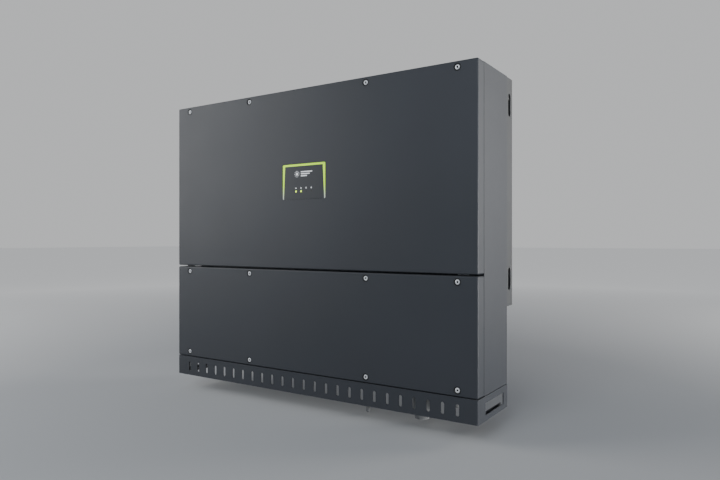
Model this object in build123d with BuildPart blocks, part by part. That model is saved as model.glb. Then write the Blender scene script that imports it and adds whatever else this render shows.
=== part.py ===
from build123d import *
import os

# A wall-hung three-phase string inverter for a solar roof: a folded sheet-metal case with two
# screwed lids, a slotted skirt round the cable entries, a finned heat sink with three fans at
# the rear, and a wall bracket that the case hooks onto.
#
# Axes: X to the right seen from the front, Y into the wall, Z up. Y = 0 is the wall, and the
# origin is the middle of the bracket's four wall holes. Millimetres throughout.

# --- Driving sizes: case -------------------------------------------------------------------
case_width = 855.0
case_height = 710.0  # roof to the lower edge of the skirt
lid_depth = 31.0  # front of the lids to the front frame
case_depth = 132.0  # front frame to the rear edge of the side panels
wall_gap = 37.0  # rear edge of the side panels to the wall
sheet = 2.0
roof_sheet = 2.5
roof_inset = 0.6  # the roof stands back this far from the side faces
skirt_height = 49.0
seam = 1.5  # joint line between the case and its skirt
groove = 1.6  # joint line between the lids' returns and the side panels
fold_radius = 2.5
rear_flange = 27.0  # width of the flange folded in along each side panel's rear edge

# --- Driving sizes: lids and their screws --------------------------------------------------
upper_lid_height = 418.9
lid_split = 3.6  # open joint between the two lids
lid_sheet = 2.0
lid_corner = 3.0
screw_from_side = 43.5  # outer screw axis to the side of the case
inner_screw_x = 170.0
screw_edge = 12.0  # screw axis to the lid's upper or lower edge
screw_radius = 3.0
screw_length = 22.0
head_radius = 5.4
head_height = 3.5
socket_radius = 2.3
cup_radius = 8.0
cup_depth = 5.0
cup_wall = 1.3
cup_hole_clearance = 0.3
washer_radius = 7.5
washer_height = 1.2
thread_clearance = 0.1
boss_radius = 6.0
boss_length = 21.0
neck_sheet = 1.5
neck_from_side = 22.0
neck_past_screws = 29.0  # neck to the edge of a lid that has screws along it
neck_from_split = 12.0  # neck to the upper lid's lower edge, which has no screws
gasket_width = 12.0
tab_width = 24.0
tab_sheet = 1.4
tab_gap = 1.0  # upper end of a tab to the neck above it

# --- Driving sizes: status panel in the upper lid ------------------------------------------
panel_width = 125.0
panel_height = 83.0
panel_drop = 175.0  # top of the lid to the top of the panel
panel_gap = 0.6
panel_corner = 3.5
panel_recess = 0.5
panel_base = 2.0
base_overlap = 6.0
frame_top = 4.5
frame_leg_high = 6.5
frame_leg_low = 2.5
led_count = 4
led_pitch = 15.0
led_radius = 2.0
led_drop = 64.0  # top of the panel to the row of lights
led_stand_off = 8.0
board_sheet = 1.6
post_radius = 3.0
post_inset = 5.0  # spacer posts to the edge of a board

# --- Driving sizes: skirt ------------------------------------------------------------------
slot_pitch = 32.0
slot_from_side = 43.5  # the least distance from a slot's axis to the side of the case
slot_length = 24.5
slot_width = 7.5
slot_rise = 23.3  # lower edge of the skirt to the middle of the slots
hand_hole_length = 101.0
hand_hole_start = 39.0  # front of the case to the hand hole
lip_width = 14.0
hem_height = 5.2
skirt_screw_radius = 2.5
skirt_screw_x = 300.0
skirt_screw_inset = 22.0  # screws in the side flanges, from the ends of those flanges
skirt_front_screw = 41.0  # screws in the front flange, from the front of the lids
skirt_nut_height = 3.0

# --- Driving sizes: rear duct, heat sink and fans -------------------------------------------
duct_depth = 62.0
sink_from_side = 50.5  # heat sink to the inside of the side panels
sink_back_gap = 4.0  # fin tips stand inside the side panels' rear edge
sink_base = 10.0
sink_roof_gap = 7.0
fin_pitch = 15.0
fin_thickness = 2.6
sink_window_edge = 35.0  # side of the window in the rear wall to the side of the heat sink
sink_window_low = -40.0
sink_window_high = 200.0
fan_size = 120.0
fan_thickness = 25.0
fan_spacing = 230.0
fan_rim = 3.5  # thinnest wall between the bore and the side of the housing
fan_headroom = 12.0  # top of the fans to the heat sink
fan_tip_gap = 1.5
fan_hub = 21.0
fan_corner = 5.0
blade_count = 7
blade_chord = 27.0
blade_sheet = 2.2
blade_pitch_angle = 38.0
strut_width = 5.0
strut_depth = 4.0
rotor_gap = 1.0  # rotor to the struts behind it
rotor_recess = 2.5  # front of the rotor to the front of the housing
blade_overrun = 4.0
hub_edge = 0.8
fan_hole_inset = 7.5
fan_hole_radius = 2.2
guard_wire = 2.2
guard_overlap = 1.5  # outermost ring past the edge of the bore
guard_step = 13.0
guard_rings = 4
shelf_drop = 250.0  # wall bolt centre line down to the shelf under the fans
exhaust_pitch = 17.0
exhaust_from_side = 40.0
exhaust_length = 44.0
exhaust_width = 7.0

# --- Driving sizes: wall bracket -------------------------------------------------------------
bracket_height = 495.0
bracket_inset = 2.0  # the bracket's outer face stands in from the case's side
bracket_sheet = 2.0
bracket_back = 2.5
rail_depth = 33.5
rail_width = 50.5
side_slot_length = 50.0
side_slot_width = 14.0
side_slot_z = 189.0
side_slot_y = -18.0
bolt_from_face = 25.5  # wall holes to the outer face of the uprights
bolt_spacing_z = 300.0
bolt_radius = 5.0
cross_rail_height = 58.0
hook_floor = 205.0
hook_tip = 228.0
hook_sheet = 2.5
hook_front = -18.0
hook_top_gap = 2.0  # hook rail's upper edge to the top of the case
hanger_from_side = 17.5
hanger_tail = 5.0  # hanger's plate below the floor of the hook
hanger_lip_back = -8.0
hook_clearance = 3.0
cross_rail_end = 0.5
cross_rail_foot = 10.0

# --- Driving sizes: cable entries under the gland plate --------------------------------------
gland_plate_sheet = 3.0
entry_clearance = 0.1
entry_back = 91.0  # front row of entries to the rear edge of the side panels
ac_gland_from_side = 157.5
ac_thread_radius = 20.0
ac_hex = 26.0  # corner radius of the gland body's hexagon
ac_hex_height = 10.0
ac_collar = 14.0
ac_bore = 14.0
ac_nut_radius = 19.5
ac_gland_length = 77.0
data_gland_from_side = 74.5
data_gland_pitch = 36.0
data_gland_count = 3
data_thread_radius = 12.5
data_hex = 16.5
data_hex_height = 7.0
data_collar = 9.0
data_bore = 6.5
data_nut_wall = 7.5
data_gland_length = 41.0
gland_collar_share = 0.95  # collar below the hexagon, as a share of the thread's radius
gland_thread_rise = 10.0
gland_lock_height = 6.0
antenna_from_side = 296.5
antenna_length = 86.5
antenna_radius = 4.2
antenna_stem = 3.2
antenna_hex = 5.8
antenna_hex_height = 8.0
antenna_rise = 8.0
vent_from_side = 222.5
vent_radius = 6.0
vent_hex = 10.0
vent_hex_height = 7.0
vent_rise = 5.0
stud_from_side = 31.5
stud_radius = 4.0
stud_length = 24.0
stud_rise = 8.0
stud_washer = 8.8
stud_washer_height = 1.5
stud_nut = 7.4
stud_nut_height = 6.5
dc_count = 12
dc_pitch = 28.0
dc_from_side = 195.5  # first socket to the left side of the case
dc_back = (85.0, 47.0)  # positive and negative rows to the rear edge of the side panels
dc_stem_radius = 6.0
dc_stem_rise = 14.0
dc_body_radius = 8.0
dc_cavity_radius = 5.6
dc_cavity_share = 0.6
dc_pin_radius = 2.0
dc_hex = 10.5
dc_hex_height = 6.0
dc_length = 29.0
knobs_from_side = (55.5, 131.5)  # from the left side of the case
knob_back = 85.0
knob_radius = 23.0
knob_height = 22.0
knob_disc_height = 9.9
knob_grip_width = 11.5
knob_grip_length = 43.2
knob_edge = 1.5
knob_gap = 2.0
shaft_radius = 5.0
shaft_clearance = 0.1
shaft_in_switch = 20.0
switch_size = (58.0, 62.0, 66.0)
switch_corner = 3.0
switch_bore_depth = 22.0

# --- Driving sizes: what is inside ------------------------------------------------------------
board_from_sink = 10.0  # side of the power board to the side of the heat sink
board_low = -60.0
board_high = 225.0
module_size = (60.0, 100.0, 17.0)
module_corner = 2.0
module_pitch = 104.0
capacitor_size = (42.0, 30.0, 46.0)
capacitor_pitch = (50.0, 42.0)
capacitor_grid = (9, 3)
capacitor_middle = (-70.0, -45.0)  # from the middle of the power board
relay_size = (38.0, 32.0, 34.0)
relay_pitch = (50.0, 46.0)
relay_grid = (3, 3)
relay_middle = (270.0, -55.0)  # from the middle of the power board
control_size = (240.0, 120.0)
control_middle = (210.0, 67.5)  # from the middle of the power board
control_stand_off = 52.0
control_post_inset = 8.0
chip_size = (32.0, 32.0, 5.0)
chip_middle = (-30.0, 0.0)  # from the middle of the control board
connector_size = (40.0, 18.0)
connector_middles = ((45.0, 15.0), (45.0, -20.0))
comm_size = (170.0, 64.0)
comm_x = -60.0
comm_stand_off = 12.0
port_size = (24.0, 16.0, 13.0)
port_pitch = 30.0
port_count = 5
port_drop = 14.0  # row of ports below the middle of the board
choke_width = 96.0
choke_height = 86.0
choke_depth = 58.0
choke_foot = 4.0
choke_foot_ledge = (8.0, 6.0)  # foot past the choke's body at the sides and ends
choke_corner = 12.0
choke_edge = 5.0
choke_drop = 2.0
choke_pitch = 132.0
rail_rise = 107.0  # DIN rail above the lower edge of the case
rail_sheet = 1.2
rail_depth_din = 7.5
rail_half = 17.5
rail_web_half = 12.5
rail_ends = (67.0, 65.0)  # rail past the first and the last module
module_play = 0.6
fuse_width = 17.5
fuse_height = 82.0
fuse_depth = 58.0
arrester_gap = 13.0  # fuse holders to surge arresters
arrester_count = 6
arrester_height = 88.0
terminal_offset = 65.0  # start of the terminal block to the AC gland's axis
terminal_count = 5
terminal_width = 24.0
terminal_height = 66.0
terminal_depth = 60.0
din_shoulder = 0.7
din_nose = 0.5
holder_entries = (29.5, 11.5)  # positive and negative leads' entries, in front of the rail
lead_straight = 10.0
dc_lead_radius = 2.2
dc_lead_bend = 7.0
ac_lead_radius = 3.6
ac_lead_bend = 13.0
ac_lead_offsets = (26.0, 0.0, -24.0)  # from the middles of the last three chokes
ac_lead_stand_off = 26.0  # leads in front of the upper rear wall
ac_lead_climb = 56.0
terminal_entry = 0.38  # height of a lead's entry, as a share of the terminal's height
ground_bar_length = 140.0
ground_bar_width = 12.0
ground_bar_sheet = 5.0
ground_bar_rise = 26.0
ground_bar_offset = 10.0  # middle of the bar to the AC gland's axis
ground_bar_back = 49.0  # middle of the bar to the rear edge of the side panels
ground_screw_pitch = 24.0
ground_screw_count = 6
ground_screw_radius = 4.0
ground_foot_width = 8.0
lead_hole_clearance = 1.0

# --- Planes that follow from the driving sizes ------------------------------------------------
half_width = case_width / 2
inner_half = half_width - sheet
top = bracket_height / 2
bottom = top - case_height
skirt_top = bottom + skirt_height
case_low = skirt_top + seam
case_back = -wall_gap
case_front = case_back - case_depth
lid_front = case_front - lid_depth
lid_back = case_front - groove
roof_low = top - roof_sheet
outer_screw_x = half_width - screw_from_side
upper_lid_low = top - upper_lid_height
lower_lid_high = upper_lid_low - lid_split
lower_lid_low = case_low
shelf_high = -shelf_drop
rear_wall = case_back - duct_depth  # outer face of the upper rear wall
frame_back = case_front + sheet
split_z = (upper_lid_low + lower_lid_high) / 2
neck_front = case_front - boss_length
plate_high = case_low + gland_plate_sheet
fan_z = shelf_high + fan_size / 2
fan_xs = (-fan_spacing, 0.0, fan_spacing)
fan_back = case_back - sheet
fan_bore = fan_size / 2 - fan_rim
fan_hole_spacing = fan_size - 2 * fan_hole_inset
middle_y = (case_front + case_back) / 2
rail_face = half_width - bracket_inset
sink_back = case_back - sink_back_gap
sink_low = shelf_high + fan_size + fan_headroom
sink_high = roof_low - sink_roof_gap
sink_width = 2 * (inner_half - sink_from_side)
sink_window_width = sink_width - 2 * sink_window_edge

screw_xs = (-outer_screw_x, -inner_screw_x, inner_screw_x, outer_screw_x)
upper_screws = [(x, top - screw_edge) for x in screw_xs]
lower_screws = [
    (x, z)
    for z in (lower_lid_high - screw_edge, lower_lid_low + screw_edge)
    for x in screw_xs
]
# Each neck as (low, high), the outside of the raised rim round a compartment's opening.
upper_neck = (upper_lid_low + neck_from_split, top - neck_past_screws)
lower_neck = (lower_lid_low + neck_past_screws, lower_lid_high - neck_past_screws)
neck_half = half_width - neck_from_side

os.makedirs("parts", exist_ok=True)


def save(piece, name):
    """Label a finished piece and write its STEP file."""
    piece.label = name
    export_step(piece, f"parts/{name}.step")


def front_plane(y):
    """The plane at depth y that faces the front, so that an extrusion runs towards the viewer."""
    return Plane.XZ.offset(-y)


def plate(low, high):
    """A rectangular plate between two opposite corners."""
    size = [high[i] - low[i] for i in range(3)]
    with Locations(tuple((low[i] + high[i]) / 2 for i in range(3))):
        Box(*size)


# --- Case panels ------------------------------------------------------------------------------
def side_panel(side):
    """The left panel has side -1 and the right one 1."""
    with BuildPart() as panel:
        with BuildSketch(Plane.XY.offset(case_low)):
            with Locations((side * (half_width - sheet / 2), middle_y)):
                Rectangle(sheet, case_depth)
        extrude(amount=roof_low - case_low)
        with BuildSketch(Plane.XY.offset(shelf_high)):
            with Locations((side * (half_width - rear_flange / 2), case_back - sheet / 2)):
                Rectangle(rear_flange, sheet)
        extrude(amount=roof_low - shelf_high)
        outside = panel.faces().filter_by(Axis.X).group_by(Axis.X)[0 if side < 0 else -1]
        fillet(outside.edges().filter_by(Axis.Z).sort_by(Axis.Y)[-1], sheet * 0.9)
    return panel.part


save(side_panel(-1), "side_panel_left")
save(side_panel(1), "side_panel_right")

exhaust_count = int(2 * (inner_half - exhaust_from_side) / exhaust_pitch) + 1
with BuildPart() as roof_panel:
    with BuildSketch(Plane.XY.offset(roof_low)):
        with Locations((0, middle_y)):
            Rectangle(case_width - 2 * roof_inset, case_depth)
        with Locations((0, (rear_wall + case_back) / 2)):
            with GridLocations(exhaust_pitch, 1, exhaust_count, 1):
                SlotOverall(exhaust_length, exhaust_width, rotation=90, mode=Mode.SUBTRACT)
    extrude(amount=roof_sheet)
save(roof_panel.part, "roof_panel")

with BuildPart() as rear_wall_upper:
    with BuildSketch(front_plane(rear_wall)):
        with Locations((0, (shelf_high + roof_low) / 2)):
            Rectangle(2 * inner_half, roof_low - shelf_high)
        with Locations((0, (sink_window_low + sink_window_high) / 2)):
            Rectangle(sink_window_width, sink_window_high - sink_window_low, mode=Mode.SUBTRACT)
    extrude(amount=sheet)
save(rear_wall_upper.part, "rear_wall_upper")

with BuildPart() as fan_shelf:
    plate((-inner_half, rear_wall - sheet, shelf_high - sheet), (inner_half, fan_back, shelf_high))
save(fan_shelf.part, "fan_shelf")

with BuildPart() as rear_wall_lower:
    plate((-inner_half, fan_back, plate_high), (inner_half, case_back, shelf_high))
save(rear_wall_lower.part, "rear_wall_lower")

partition_high = split_z - sheet / 2
choke_count = int(2 * inner_half / choke_pitch)
choke_xs = [(i - (choke_count - 1) / 2) * choke_pitch for i in range(choke_count)]
ac_lead_y = rear_wall - ac_lead_stand_off
ac_lead_xs = [x + offset for x, offset in zip(choke_xs[-3:], ac_lead_offsets)]
with BuildPart() as partition_plate:
    plate((-inner_half, frame_back, partition_high - sheet), (inner_half, rear_wall - sheet, partition_high))
    with Locations(Plane.XY.offset(partition_high)):
        with Locations(*[(x, ac_lead_y) for x in ac_lead_xs]):
            Hole(ac_lead_radius + lead_hole_clearance)
save(partition_plate.part, "partition_plate")

with BuildPart() as front_frame:
    with BuildSketch(front_plane(frame_back)):
        with Locations((0, (case_low + roof_low) / 2)):
            Rectangle(2 * inner_half, roof_low - case_low)
        for low, high in (upper_neck, lower_neck):
            with Locations((0, (low + high) / 2)):
                Rectangle(2 * (neck_half - neck_sheet), high - low - 2 * neck_sheet, mode=Mode.SUBTRACT)
    extrude(amount=sheet)
    for low, high in (upper_neck, lower_neck):
        with BuildSketch(front_plane(case_front)):
            with Locations((0, (low + high) / 2)):
                Rectangle(2 * neck_half, high - low)
                Rectangle(2 * (neck_half - neck_sheet), high - low - 2 * neck_sheet, mode=Mode.SUBTRACT)
        extrude(amount=boss_length)
save(front_frame.part, "front_frame")

with BuildPart() as lid_bosses:
    with BuildSketch(front_plane(case_front)):
        with Locations(*upper_screws, *lower_screws):
            Circle(boss_radius)
            Circle(screw_radius + thread_clearance, mode=Mode.SUBTRACT)
    extrude(amount=boss_length)
save(lid_bosses.part, "lid_bosses")

tab_low = lower_lid_high - screw_edge + boss_radius
tab_high = upper_neck[0] - tab_gap
with BuildPart() as bonding_tabs:
    with BuildSketch(front_plane(case_front)):
        with Locations((-outer_screw_x, tab_low), (outer_screw_x, tab_low)):
            Rectangle(tab_width, tab_high - tab_low, align=(Align.CENTER, Align.MIN))
    extrude(amount=tab_sheet)
save(bonding_tabs.part, "bonding_tabs")

# --- Lids ---------------------------------------------------------------------------------------


def lid_tray(low, high, screws, window=None):
    """A folded tray with a drawn cup at each screw. window is (centre z, width, height)."""
    with BuildPart() as tray:
        with BuildSketch(front_plane(lid_back)):
            with Locations((0, (low + high) / 2)):
                RectangleRounded(case_width, high - low, lid_corner)
        extrude(amount=lid_back - lid_front)
        fillet(tray.faces().sort_by(Axis.Y)[0].edges(), fold_radius)
        offset(amount=-lid_sheet, openings=tray.faces().sort_by(Axis.Y)[-1])
        with BuildSketch(front_plane(lid_front + lid_sheet)):
            with Locations(*screws):
                Circle(cup_radius + cup_wall)
        extrude(amount=-cup_depth)
        with Locations(front_plane(lid_front)):
            with Locations(*screws):
                CounterBoreHole(screw_radius + cup_hole_clearance, cup_radius, cup_depth)
        if window:
            with BuildSketch(front_plane(lid_front)):
                with Locations((0, window[0])):
                    RectangleRounded(window[1], window[2], panel_corner)
            extrude(amount=-lid_sheet, mode=Mode.SUBTRACT)
    return tray.part


panel_high = top - panel_drop
panel_z = panel_high - panel_height / 2
save(lid_tray(upper_lid_low, top, upper_screws, (panel_z, panel_width, panel_height)), "upper_lid")
save(lid_tray(lower_lid_low, lower_lid_high, lower_screws), "lower_lid")

cup_floor = lid_front + cup_depth
head_seat = cup_floor - washer_height


def lid_screws(points):
    """Captive round-head screws with a six-sided socket."""
    with BuildPart() as screws:
        with BuildSketch(front_plane(head_seat)):
            with Locations(*points):
                Circle(head_radius)
        extrude(amount=head_height)
        fillet(screws.faces().group_by(Axis.Y)[0].edges(), head_height * 0.45)
        with BuildSketch(front_plane(head_seat - head_height)):
            with Locations(*points):
                RegularPolygon(socket_radius, 6)
        extrude(amount=-head_height * 0.6, mode=Mode.SUBTRACT)
        with BuildSketch(front_plane(head_seat)):
            with Locations(*points):
                Circle(screw_radius)
        extrude(amount=-screw_length)
    return screws.part


def lid_seals(neck, points):
    """A foam ring pressed onto a compartment's neck, and rubber washers under the screw heads."""
    low, high = neck
    grow = gasket_width - neck_sheet
    with BuildPart() as seals:
        with BuildSketch(front_plane(neck_front)):
            with Locations((0, (low + high) / 2)):
                Rectangle(2 * neck_half + grow, high - low + grow)
                Rectangle(
                    2 * neck_half + grow - 2 * gasket_width,
                    high - low + grow - 2 * gasket_width,
                    mode=Mode.SUBTRACT,
                )
        extrude(amount=neck_front - lid_front - lid_sheet)
        with BuildSketch(front_plane(cup_floor)):
            with Locations(*points):
                Circle(washer_radius)
                Circle(screw_radius + thread_clearance, mode=Mode.SUBTRACT)
        extrude(amount=washer_height)
    return seals.part


save(lid_screws(upper_screws), "upper_lid_screws")
save(lid_screws(lower_screws), "lower_lid_screws")
save(lid_seals(upper_neck, upper_screws), "upper_lid_seals")
save(lid_seals(lower_neck, lower_screws), "lower_lid_seals")

# --- Status panel ---------------------------------------------------------------------------------
panel_face = lid_front + panel_recess
panel_back = lid_front + lid_sheet
led_z = panel_high - led_drop
led_points = [((i - (led_count - 1) / 2) * led_pitch, led_z) for i in range(led_count)]
half_panel = panel_width / 2 - panel_gap
panel_floor = panel_high - panel_height + panel_gap
pad_top = panel_high - panel_gap - frame_top

# Inner edge of the light frame, which the raised pad follows: legs that thin out downwards.
pad_outline = [
    (-half_panel + frame_leg_low, panel_floor),
    (half_panel - frame_leg_low, panel_floor),
    (half_panel - frame_leg_high, pad_top),
    (-half_panel + frame_leg_high, pad_top),
]


def panel_outline():
    """The opening's own shape less the clearance round it."""
    with Locations((0, panel_z)):
        RectangleRounded(2 * half_panel, panel_height - 2 * panel_gap, panel_corner - panel_gap)


with BuildPart() as status_plate:
    with BuildSketch(front_plane(panel_back)):
        with BuildLine():
            Polyline(*pad_outline, close=True)
        make_face()
    extrude(amount=panel_back - panel_face)
    with BuildSketch(front_plane(panel_back + panel_base)):
        with Locations((0, panel_z)):
            RectangleRounded(panel_width + 2 * base_overlap, panel_height + 2 * base_overlap, panel_corner)
    extrude(amount=panel_base)
    with Locations(front_plane(panel_face)):
        with Locations(*led_points):
            Hole(led_radius + entry_clearance)
save(status_plate.part, "status_plate")

with BuildPart() as light_frame:
    with BuildSketch(front_plane(panel_back)):
        panel_outline()
        with BuildLine():
            Polyline(*pad_outline, close=True)
        make_face(mode=Mode.SUBTRACT)
    extrude(amount=panel_back - panel_face)
save(light_frame.part, "light_frame")

led_back = panel_back + panel_base + led_stand_off
with BuildPart() as status_lights:
    with BuildSketch(front_plane(led_back)):
        with Locations(*led_points):
            Circle(led_radius)
    extrude(amount=led_back - panel_face)
save(status_lights.part, "status_lights")

with BuildPart() as status_board:
    with BuildSketch(front_plane(led_back + board_sheet)):
        with Locations((0, panel_z)):
            Rectangle(panel_width, panel_height)
    extrude(amount=board_sheet)
    with BuildSketch(front_plane(led_back)):
        with Locations((0, panel_z)):
            with GridLocations(panel_width - 2 * post_inset, panel_height - 2 * post_inset, 2, 2):
                Circle(post_radius)
    extrude(amount=led_stand_off)
save(status_board.part, "status_board")

# --- Skirt --------------------------------------------------------------------------------------------
skirt_depth = case_back - lid_front
slot_count = 2 * int((half_width - slot_from_side) / slot_pitch) + 1
skirt_side_x = inner_half - lip_width / 2
skirt_screws_at = [(x, lid_front + skirt_front_screw) for x in (-skirt_screw_x, 0.0, skirt_screw_x)]
skirt_screws_at += [
    (x, y)
    for x in (-skirt_side_x, skirt_side_x)
    for y in (case_front + skirt_screw_inset, case_back - skirt_screw_inset)
]


def skirt_band(inset, width):
    """A U in plan, open to the rear, whose outer line lies inset from the case's outline."""
    with Locations((0, case_back)):
        Rectangle(case_width - 2 * inset, skirt_depth - inset, align=(Align.CENTER, Align.MAX))
        Rectangle(
            case_width - 2 * (inset + width),
            skirt_depth - inset - width,
            align=(Align.CENTER, Align.MAX),
            mode=Mode.SUBTRACT,
        )


with BuildPart() as skirt:
    with BuildSketch(Plane.XY.offset(bottom)):
        skirt_band(0, sheet)
    extrude(amount=skirt_height)
    corners = skirt.edges().filter_by(Axis.Z).group_by(Axis.Y)[0]
    fillet(corners, fold_radius)
    with BuildSketch(Plane.XY.offset(bottom)):
        skirt_band(sheet / 2, lip_width + sheet / 2)
    extrude(amount=sheet)
    with BuildSketch(Plane.XY.offset(bottom + sheet)):
        skirt_band(lip_width, sheet)
    extrude(amount=hem_height)
    with BuildSketch(Plane.XY.offset(skirt_top - sheet)):
        skirt_band(sheet / 2, lip_width + sheet / 2)
        with Locations((0, lid_front + sheet / 2)):
            Rectangle(case_width - sheet, case_front - lid_front + lip_width, align=(Align.CENTER, Align.MIN))
    extrude(amount=sheet)
    with Locations(Plane.XY.offset(skirt_top)):
        with Locations(*skirt_screws_at):
            Hole(skirt_screw_radius + entry_clearance, sheet)
    with BuildSketch(front_plane(lid_front)):
        with Locations((0, bottom + slot_rise)):
            with GridLocations(slot_pitch, 1, slot_count, 1):
                SlotOverall(slot_length, slot_width, rotation=90)
    extrude(amount=-sheet, mode=Mode.SUBTRACT)
    with BuildSketch(Plane.YZ):
        with Locations((lid_front + hand_hole_start, bottom + slot_rise)):
            Rectangle(hand_hole_length, slot_length, align=(Align.MIN, Align.CENTER))
    extrude(amount=half_width, both=True, mode=Mode.SUBTRACT)
save(skirt.part, "skirt")

with BuildPart() as skirt_screws:
    with BuildSketch(Plane.XY.offset(skirt_top - sheet)):
        with Locations(*skirt_screws_at):
            Circle(skirt_screw_radius * 1.9)
    extrude(amount=-skirt_screw_radius)
    with BuildSketch(Plane.XY.offset(skirt_top - sheet)):
        with Locations(*skirt_screws_at):
            Circle(skirt_screw_radius)
    extrude(amount=plate_high + skirt_nut_height - skirt_top + sheet)
    with BuildSketch(Plane.XY.offset(skirt_top)):
        with Locations(*skirt_screws_at):
            Circle(skirt_screw_radius * 1.6)
    extrude(amount=seam)
save(skirt_screws.part, "skirt_screws")

# --- Gland plate and what comes through it ---------------------------------------------------------
front_row_y = case_back - entry_back
dc_xs = [dc_from_side - half_width + i * dc_pitch for i in range(dc_count)]
dc_points = [(x, case_back - back) for x in dc_xs for back in dc_back]
knob_points = [(x - half_width, case_back - knob_back) for x in knobs_from_side]
data_gland_x = half_width - data_gland_from_side
data_points = [(data_gland_x, front_row_y + i * data_gland_pitch) for i in range(data_gland_count)]
ac_point = (half_width - ac_gland_from_side, front_row_y)
antenna_point = (half_width - antenna_from_side, front_row_y)
vent_point = (half_width - vent_from_side, front_row_y)
stud_point = (half_width - stud_from_side, front_row_y)

with BuildPart() as gland_plate:
    with BuildSketch(Plane.XY.offset(case_low)):
        with Locations((0, (frame_back + case_back) / 2)):
            Rectangle(2 * inner_half, case_back - frame_back)
    extrude(amount=gland_plate_sheet)
    holes = [
        (skirt_screws_at, skirt_screw_radius),
        ([ac_point], ac_thread_radius),
        (data_points, data_thread_radius),
        ([antenna_point], antenna_stem),
        ([vent_point], vent_radius),
        ([stud_point], stud_radius),
        (dc_points, dc_stem_radius),
        (knob_points, shaft_radius),
    ]
    with Locations(Plane.XY.offset(plate_high)):
        for points, radius in holes:
            with Locations(*points):
                Hole(radius + entry_clearance)
save(gland_plate.part, "gland_plate")


def gland_body(points, thread, hexagon, bore, hex_height, neck_height):
    """Locknut inside, thread through the plate, then a hexagon and a collar below it."""
    with BuildPart() as body:
        with BuildSketch(Plane.XY.offset(case_low - hex_height - neck_height)):
            with Locations(*points):
                Circle(thread * gland_collar_share)
        extrude(amount=neck_height)
        with BuildSketch(Plane.XY.offset(case_low - hex_height)):
            with Locations(*points):
                RegularPolygon(hexagon, 6)
        extrude(amount=hex_height)
        with BuildSketch(Plane.XY.offset(case_low)):
            with Locations(*points):
                Circle(thread)
        extrude(amount=gland_plate_sheet + gland_thread_rise)
        with BuildSketch(Plane.XY.offset(plate_high)):
            with Locations(*points):
                RegularPolygon(hexagon, 6)
        extrude(amount=gland_lock_height)
        with Locations(Plane.XY.offset(plate_high + gland_thread_rise)):
            with Locations(*points):
                Hole(bore)
    return body.part


def gland_nut(points, radius, bore, high, low):
    """A domed clamping nut with a bore for the cable."""
    dome = (high - low) * 0.3
    with BuildPart() as nut:
        with BuildSketch(Plane.XY.offset(low)):
            with Locations(*points):
                Circle(radius)
        extrude(amount=high - low)
        fillet(nut.faces().filter_by(Axis.Z).group_by(Axis.Z)[0].edges(), min(dome, (radius - bore) * 0.9))
        with Locations(Plane.XY.offset(high)):
            with Locations(*points):
                Hole(bore)
    return nut.part


ac_nut_high = case_low - ac_hex_height - ac_collar
data_nut_high = case_low - data_hex_height - data_collar
data_nut_radius = data_bore + data_nut_wall
ac_body = gland_body([ac_point], ac_thread_radius, ac_hex, ac_bore, ac_hex_height, ac_collar)
data_bodies = gland_body(data_points, data_thread_radius, data_hex, data_bore, data_hex_height, data_collar)
ac_nut = gland_nut([ac_point], ac_nut_radius, ac_bore, ac_nut_high, case_low - ac_gland_length)
data_nuts = gland_nut(data_points, data_nut_radius, data_bore, data_nut_high, case_low - data_gland_length)
save(ac_body, "ac_gland_body")
save(data_bodies, "data_glands")
save(ac_nut, "ac_gland_nut")
save(data_nuts, "data_gland_nuts")

with BuildPart() as vent_plug:
    with BuildSketch(Plane.XY.offset(case_low - vent_hex_height)):
        with Locations(vent_point):
            RegularPolygon(vent_hex, 6)
    extrude(amount=vent_hex_height)
    with BuildSketch(Plane.XY.offset(case_low)):
        with Locations(vent_point):
            Circle(vent_radius)
    extrude(amount=gland_plate_sheet + vent_rise)
save(vent_plug.part, "vent_plug")

with BuildPart() as antenna:
    with BuildSketch(Plane.XY.offset(case_low)):
        with Locations(antenna_point):
            Circle(antenna_stem)
    extrude(amount=gland_plate_sheet + antenna_rise)
    with BuildSketch(Plane.XY.offset(case_low)):
        with Locations(antenna_point):
            RegularPolygon(antenna_hex, 6)
    extrude(amount=-antenna_hex_height)
    with BuildSketch(Plane.XY.offset(case_low - antenna_hex_height)):
        with Locations(antenna_point):
            Circle(antenna_radius)
    extrude(amount=antenna_hex_height - antenna_length)
    fillet(antenna.faces().sort_by(Axis.Z)[0].edges(), antenna_radius * 0.7)
save(antenna.part, "antenna")

with BuildPart() as ground_stud:
    with BuildSketch(Plane.XY.offset(case_low - stud_length)):
        with Locations(stud_point):
            Circle(stud_radius)
    extrude(amount=stud_length + gland_plate_sheet + stud_rise)
    with BuildSketch(Plane.XY.offset(case_low - stud_washer_height)):
        with Locations(stud_point):
            Circle(stud_washer)
    extrude(amount=stud_washer_height)
    with BuildSketch(Plane.XY.offset(case_low - stud_washer_height)):
        with Locations(stud_point):
            RegularPolygon(stud_nut, 6)
    extrude(amount=-stud_nut_height)
save(ground_stud.part, "ground_stud")

# Panel sockets: stem through the plate, fixing nut, and a barrel with a contact pin in it.
with BuildPart() as dc_sockets:
    with BuildSketch(Plane.XY.offset(case_low - dc_length)):
        with Locations(*dc_points):
            Circle(dc_body_radius)
    extrude(amount=dc_length)
    with BuildSketch(Plane.XY.offset(case_low - dc_hex_height)):
        with Locations(*dc_points):
            RegularPolygon(dc_hex, 6)
    extrude(amount=dc_hex_height)
    with BuildSketch(Plane.XY.offset(case_low)):
        with Locations(*dc_points):
            Circle(dc_stem_radius)
    extrude(amount=gland_plate_sheet + dc_stem_rise)
    with BuildSketch(Plane.XY.offset(case_low - dc_length)):
        with Locations(*dc_points):
            Circle(dc_cavity_radius)
            Circle(dc_pin_radius, mode=Mode.SUBTRACT)
    extrude(amount=dc_length * dc_cavity_share, mode=Mode.SUBTRACT)
save(dc_sockets.part, "dc_sockets")

# --- DC isolating switches ------------------------------------------------------------------------
knob_high = case_low - knob_gap


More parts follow.
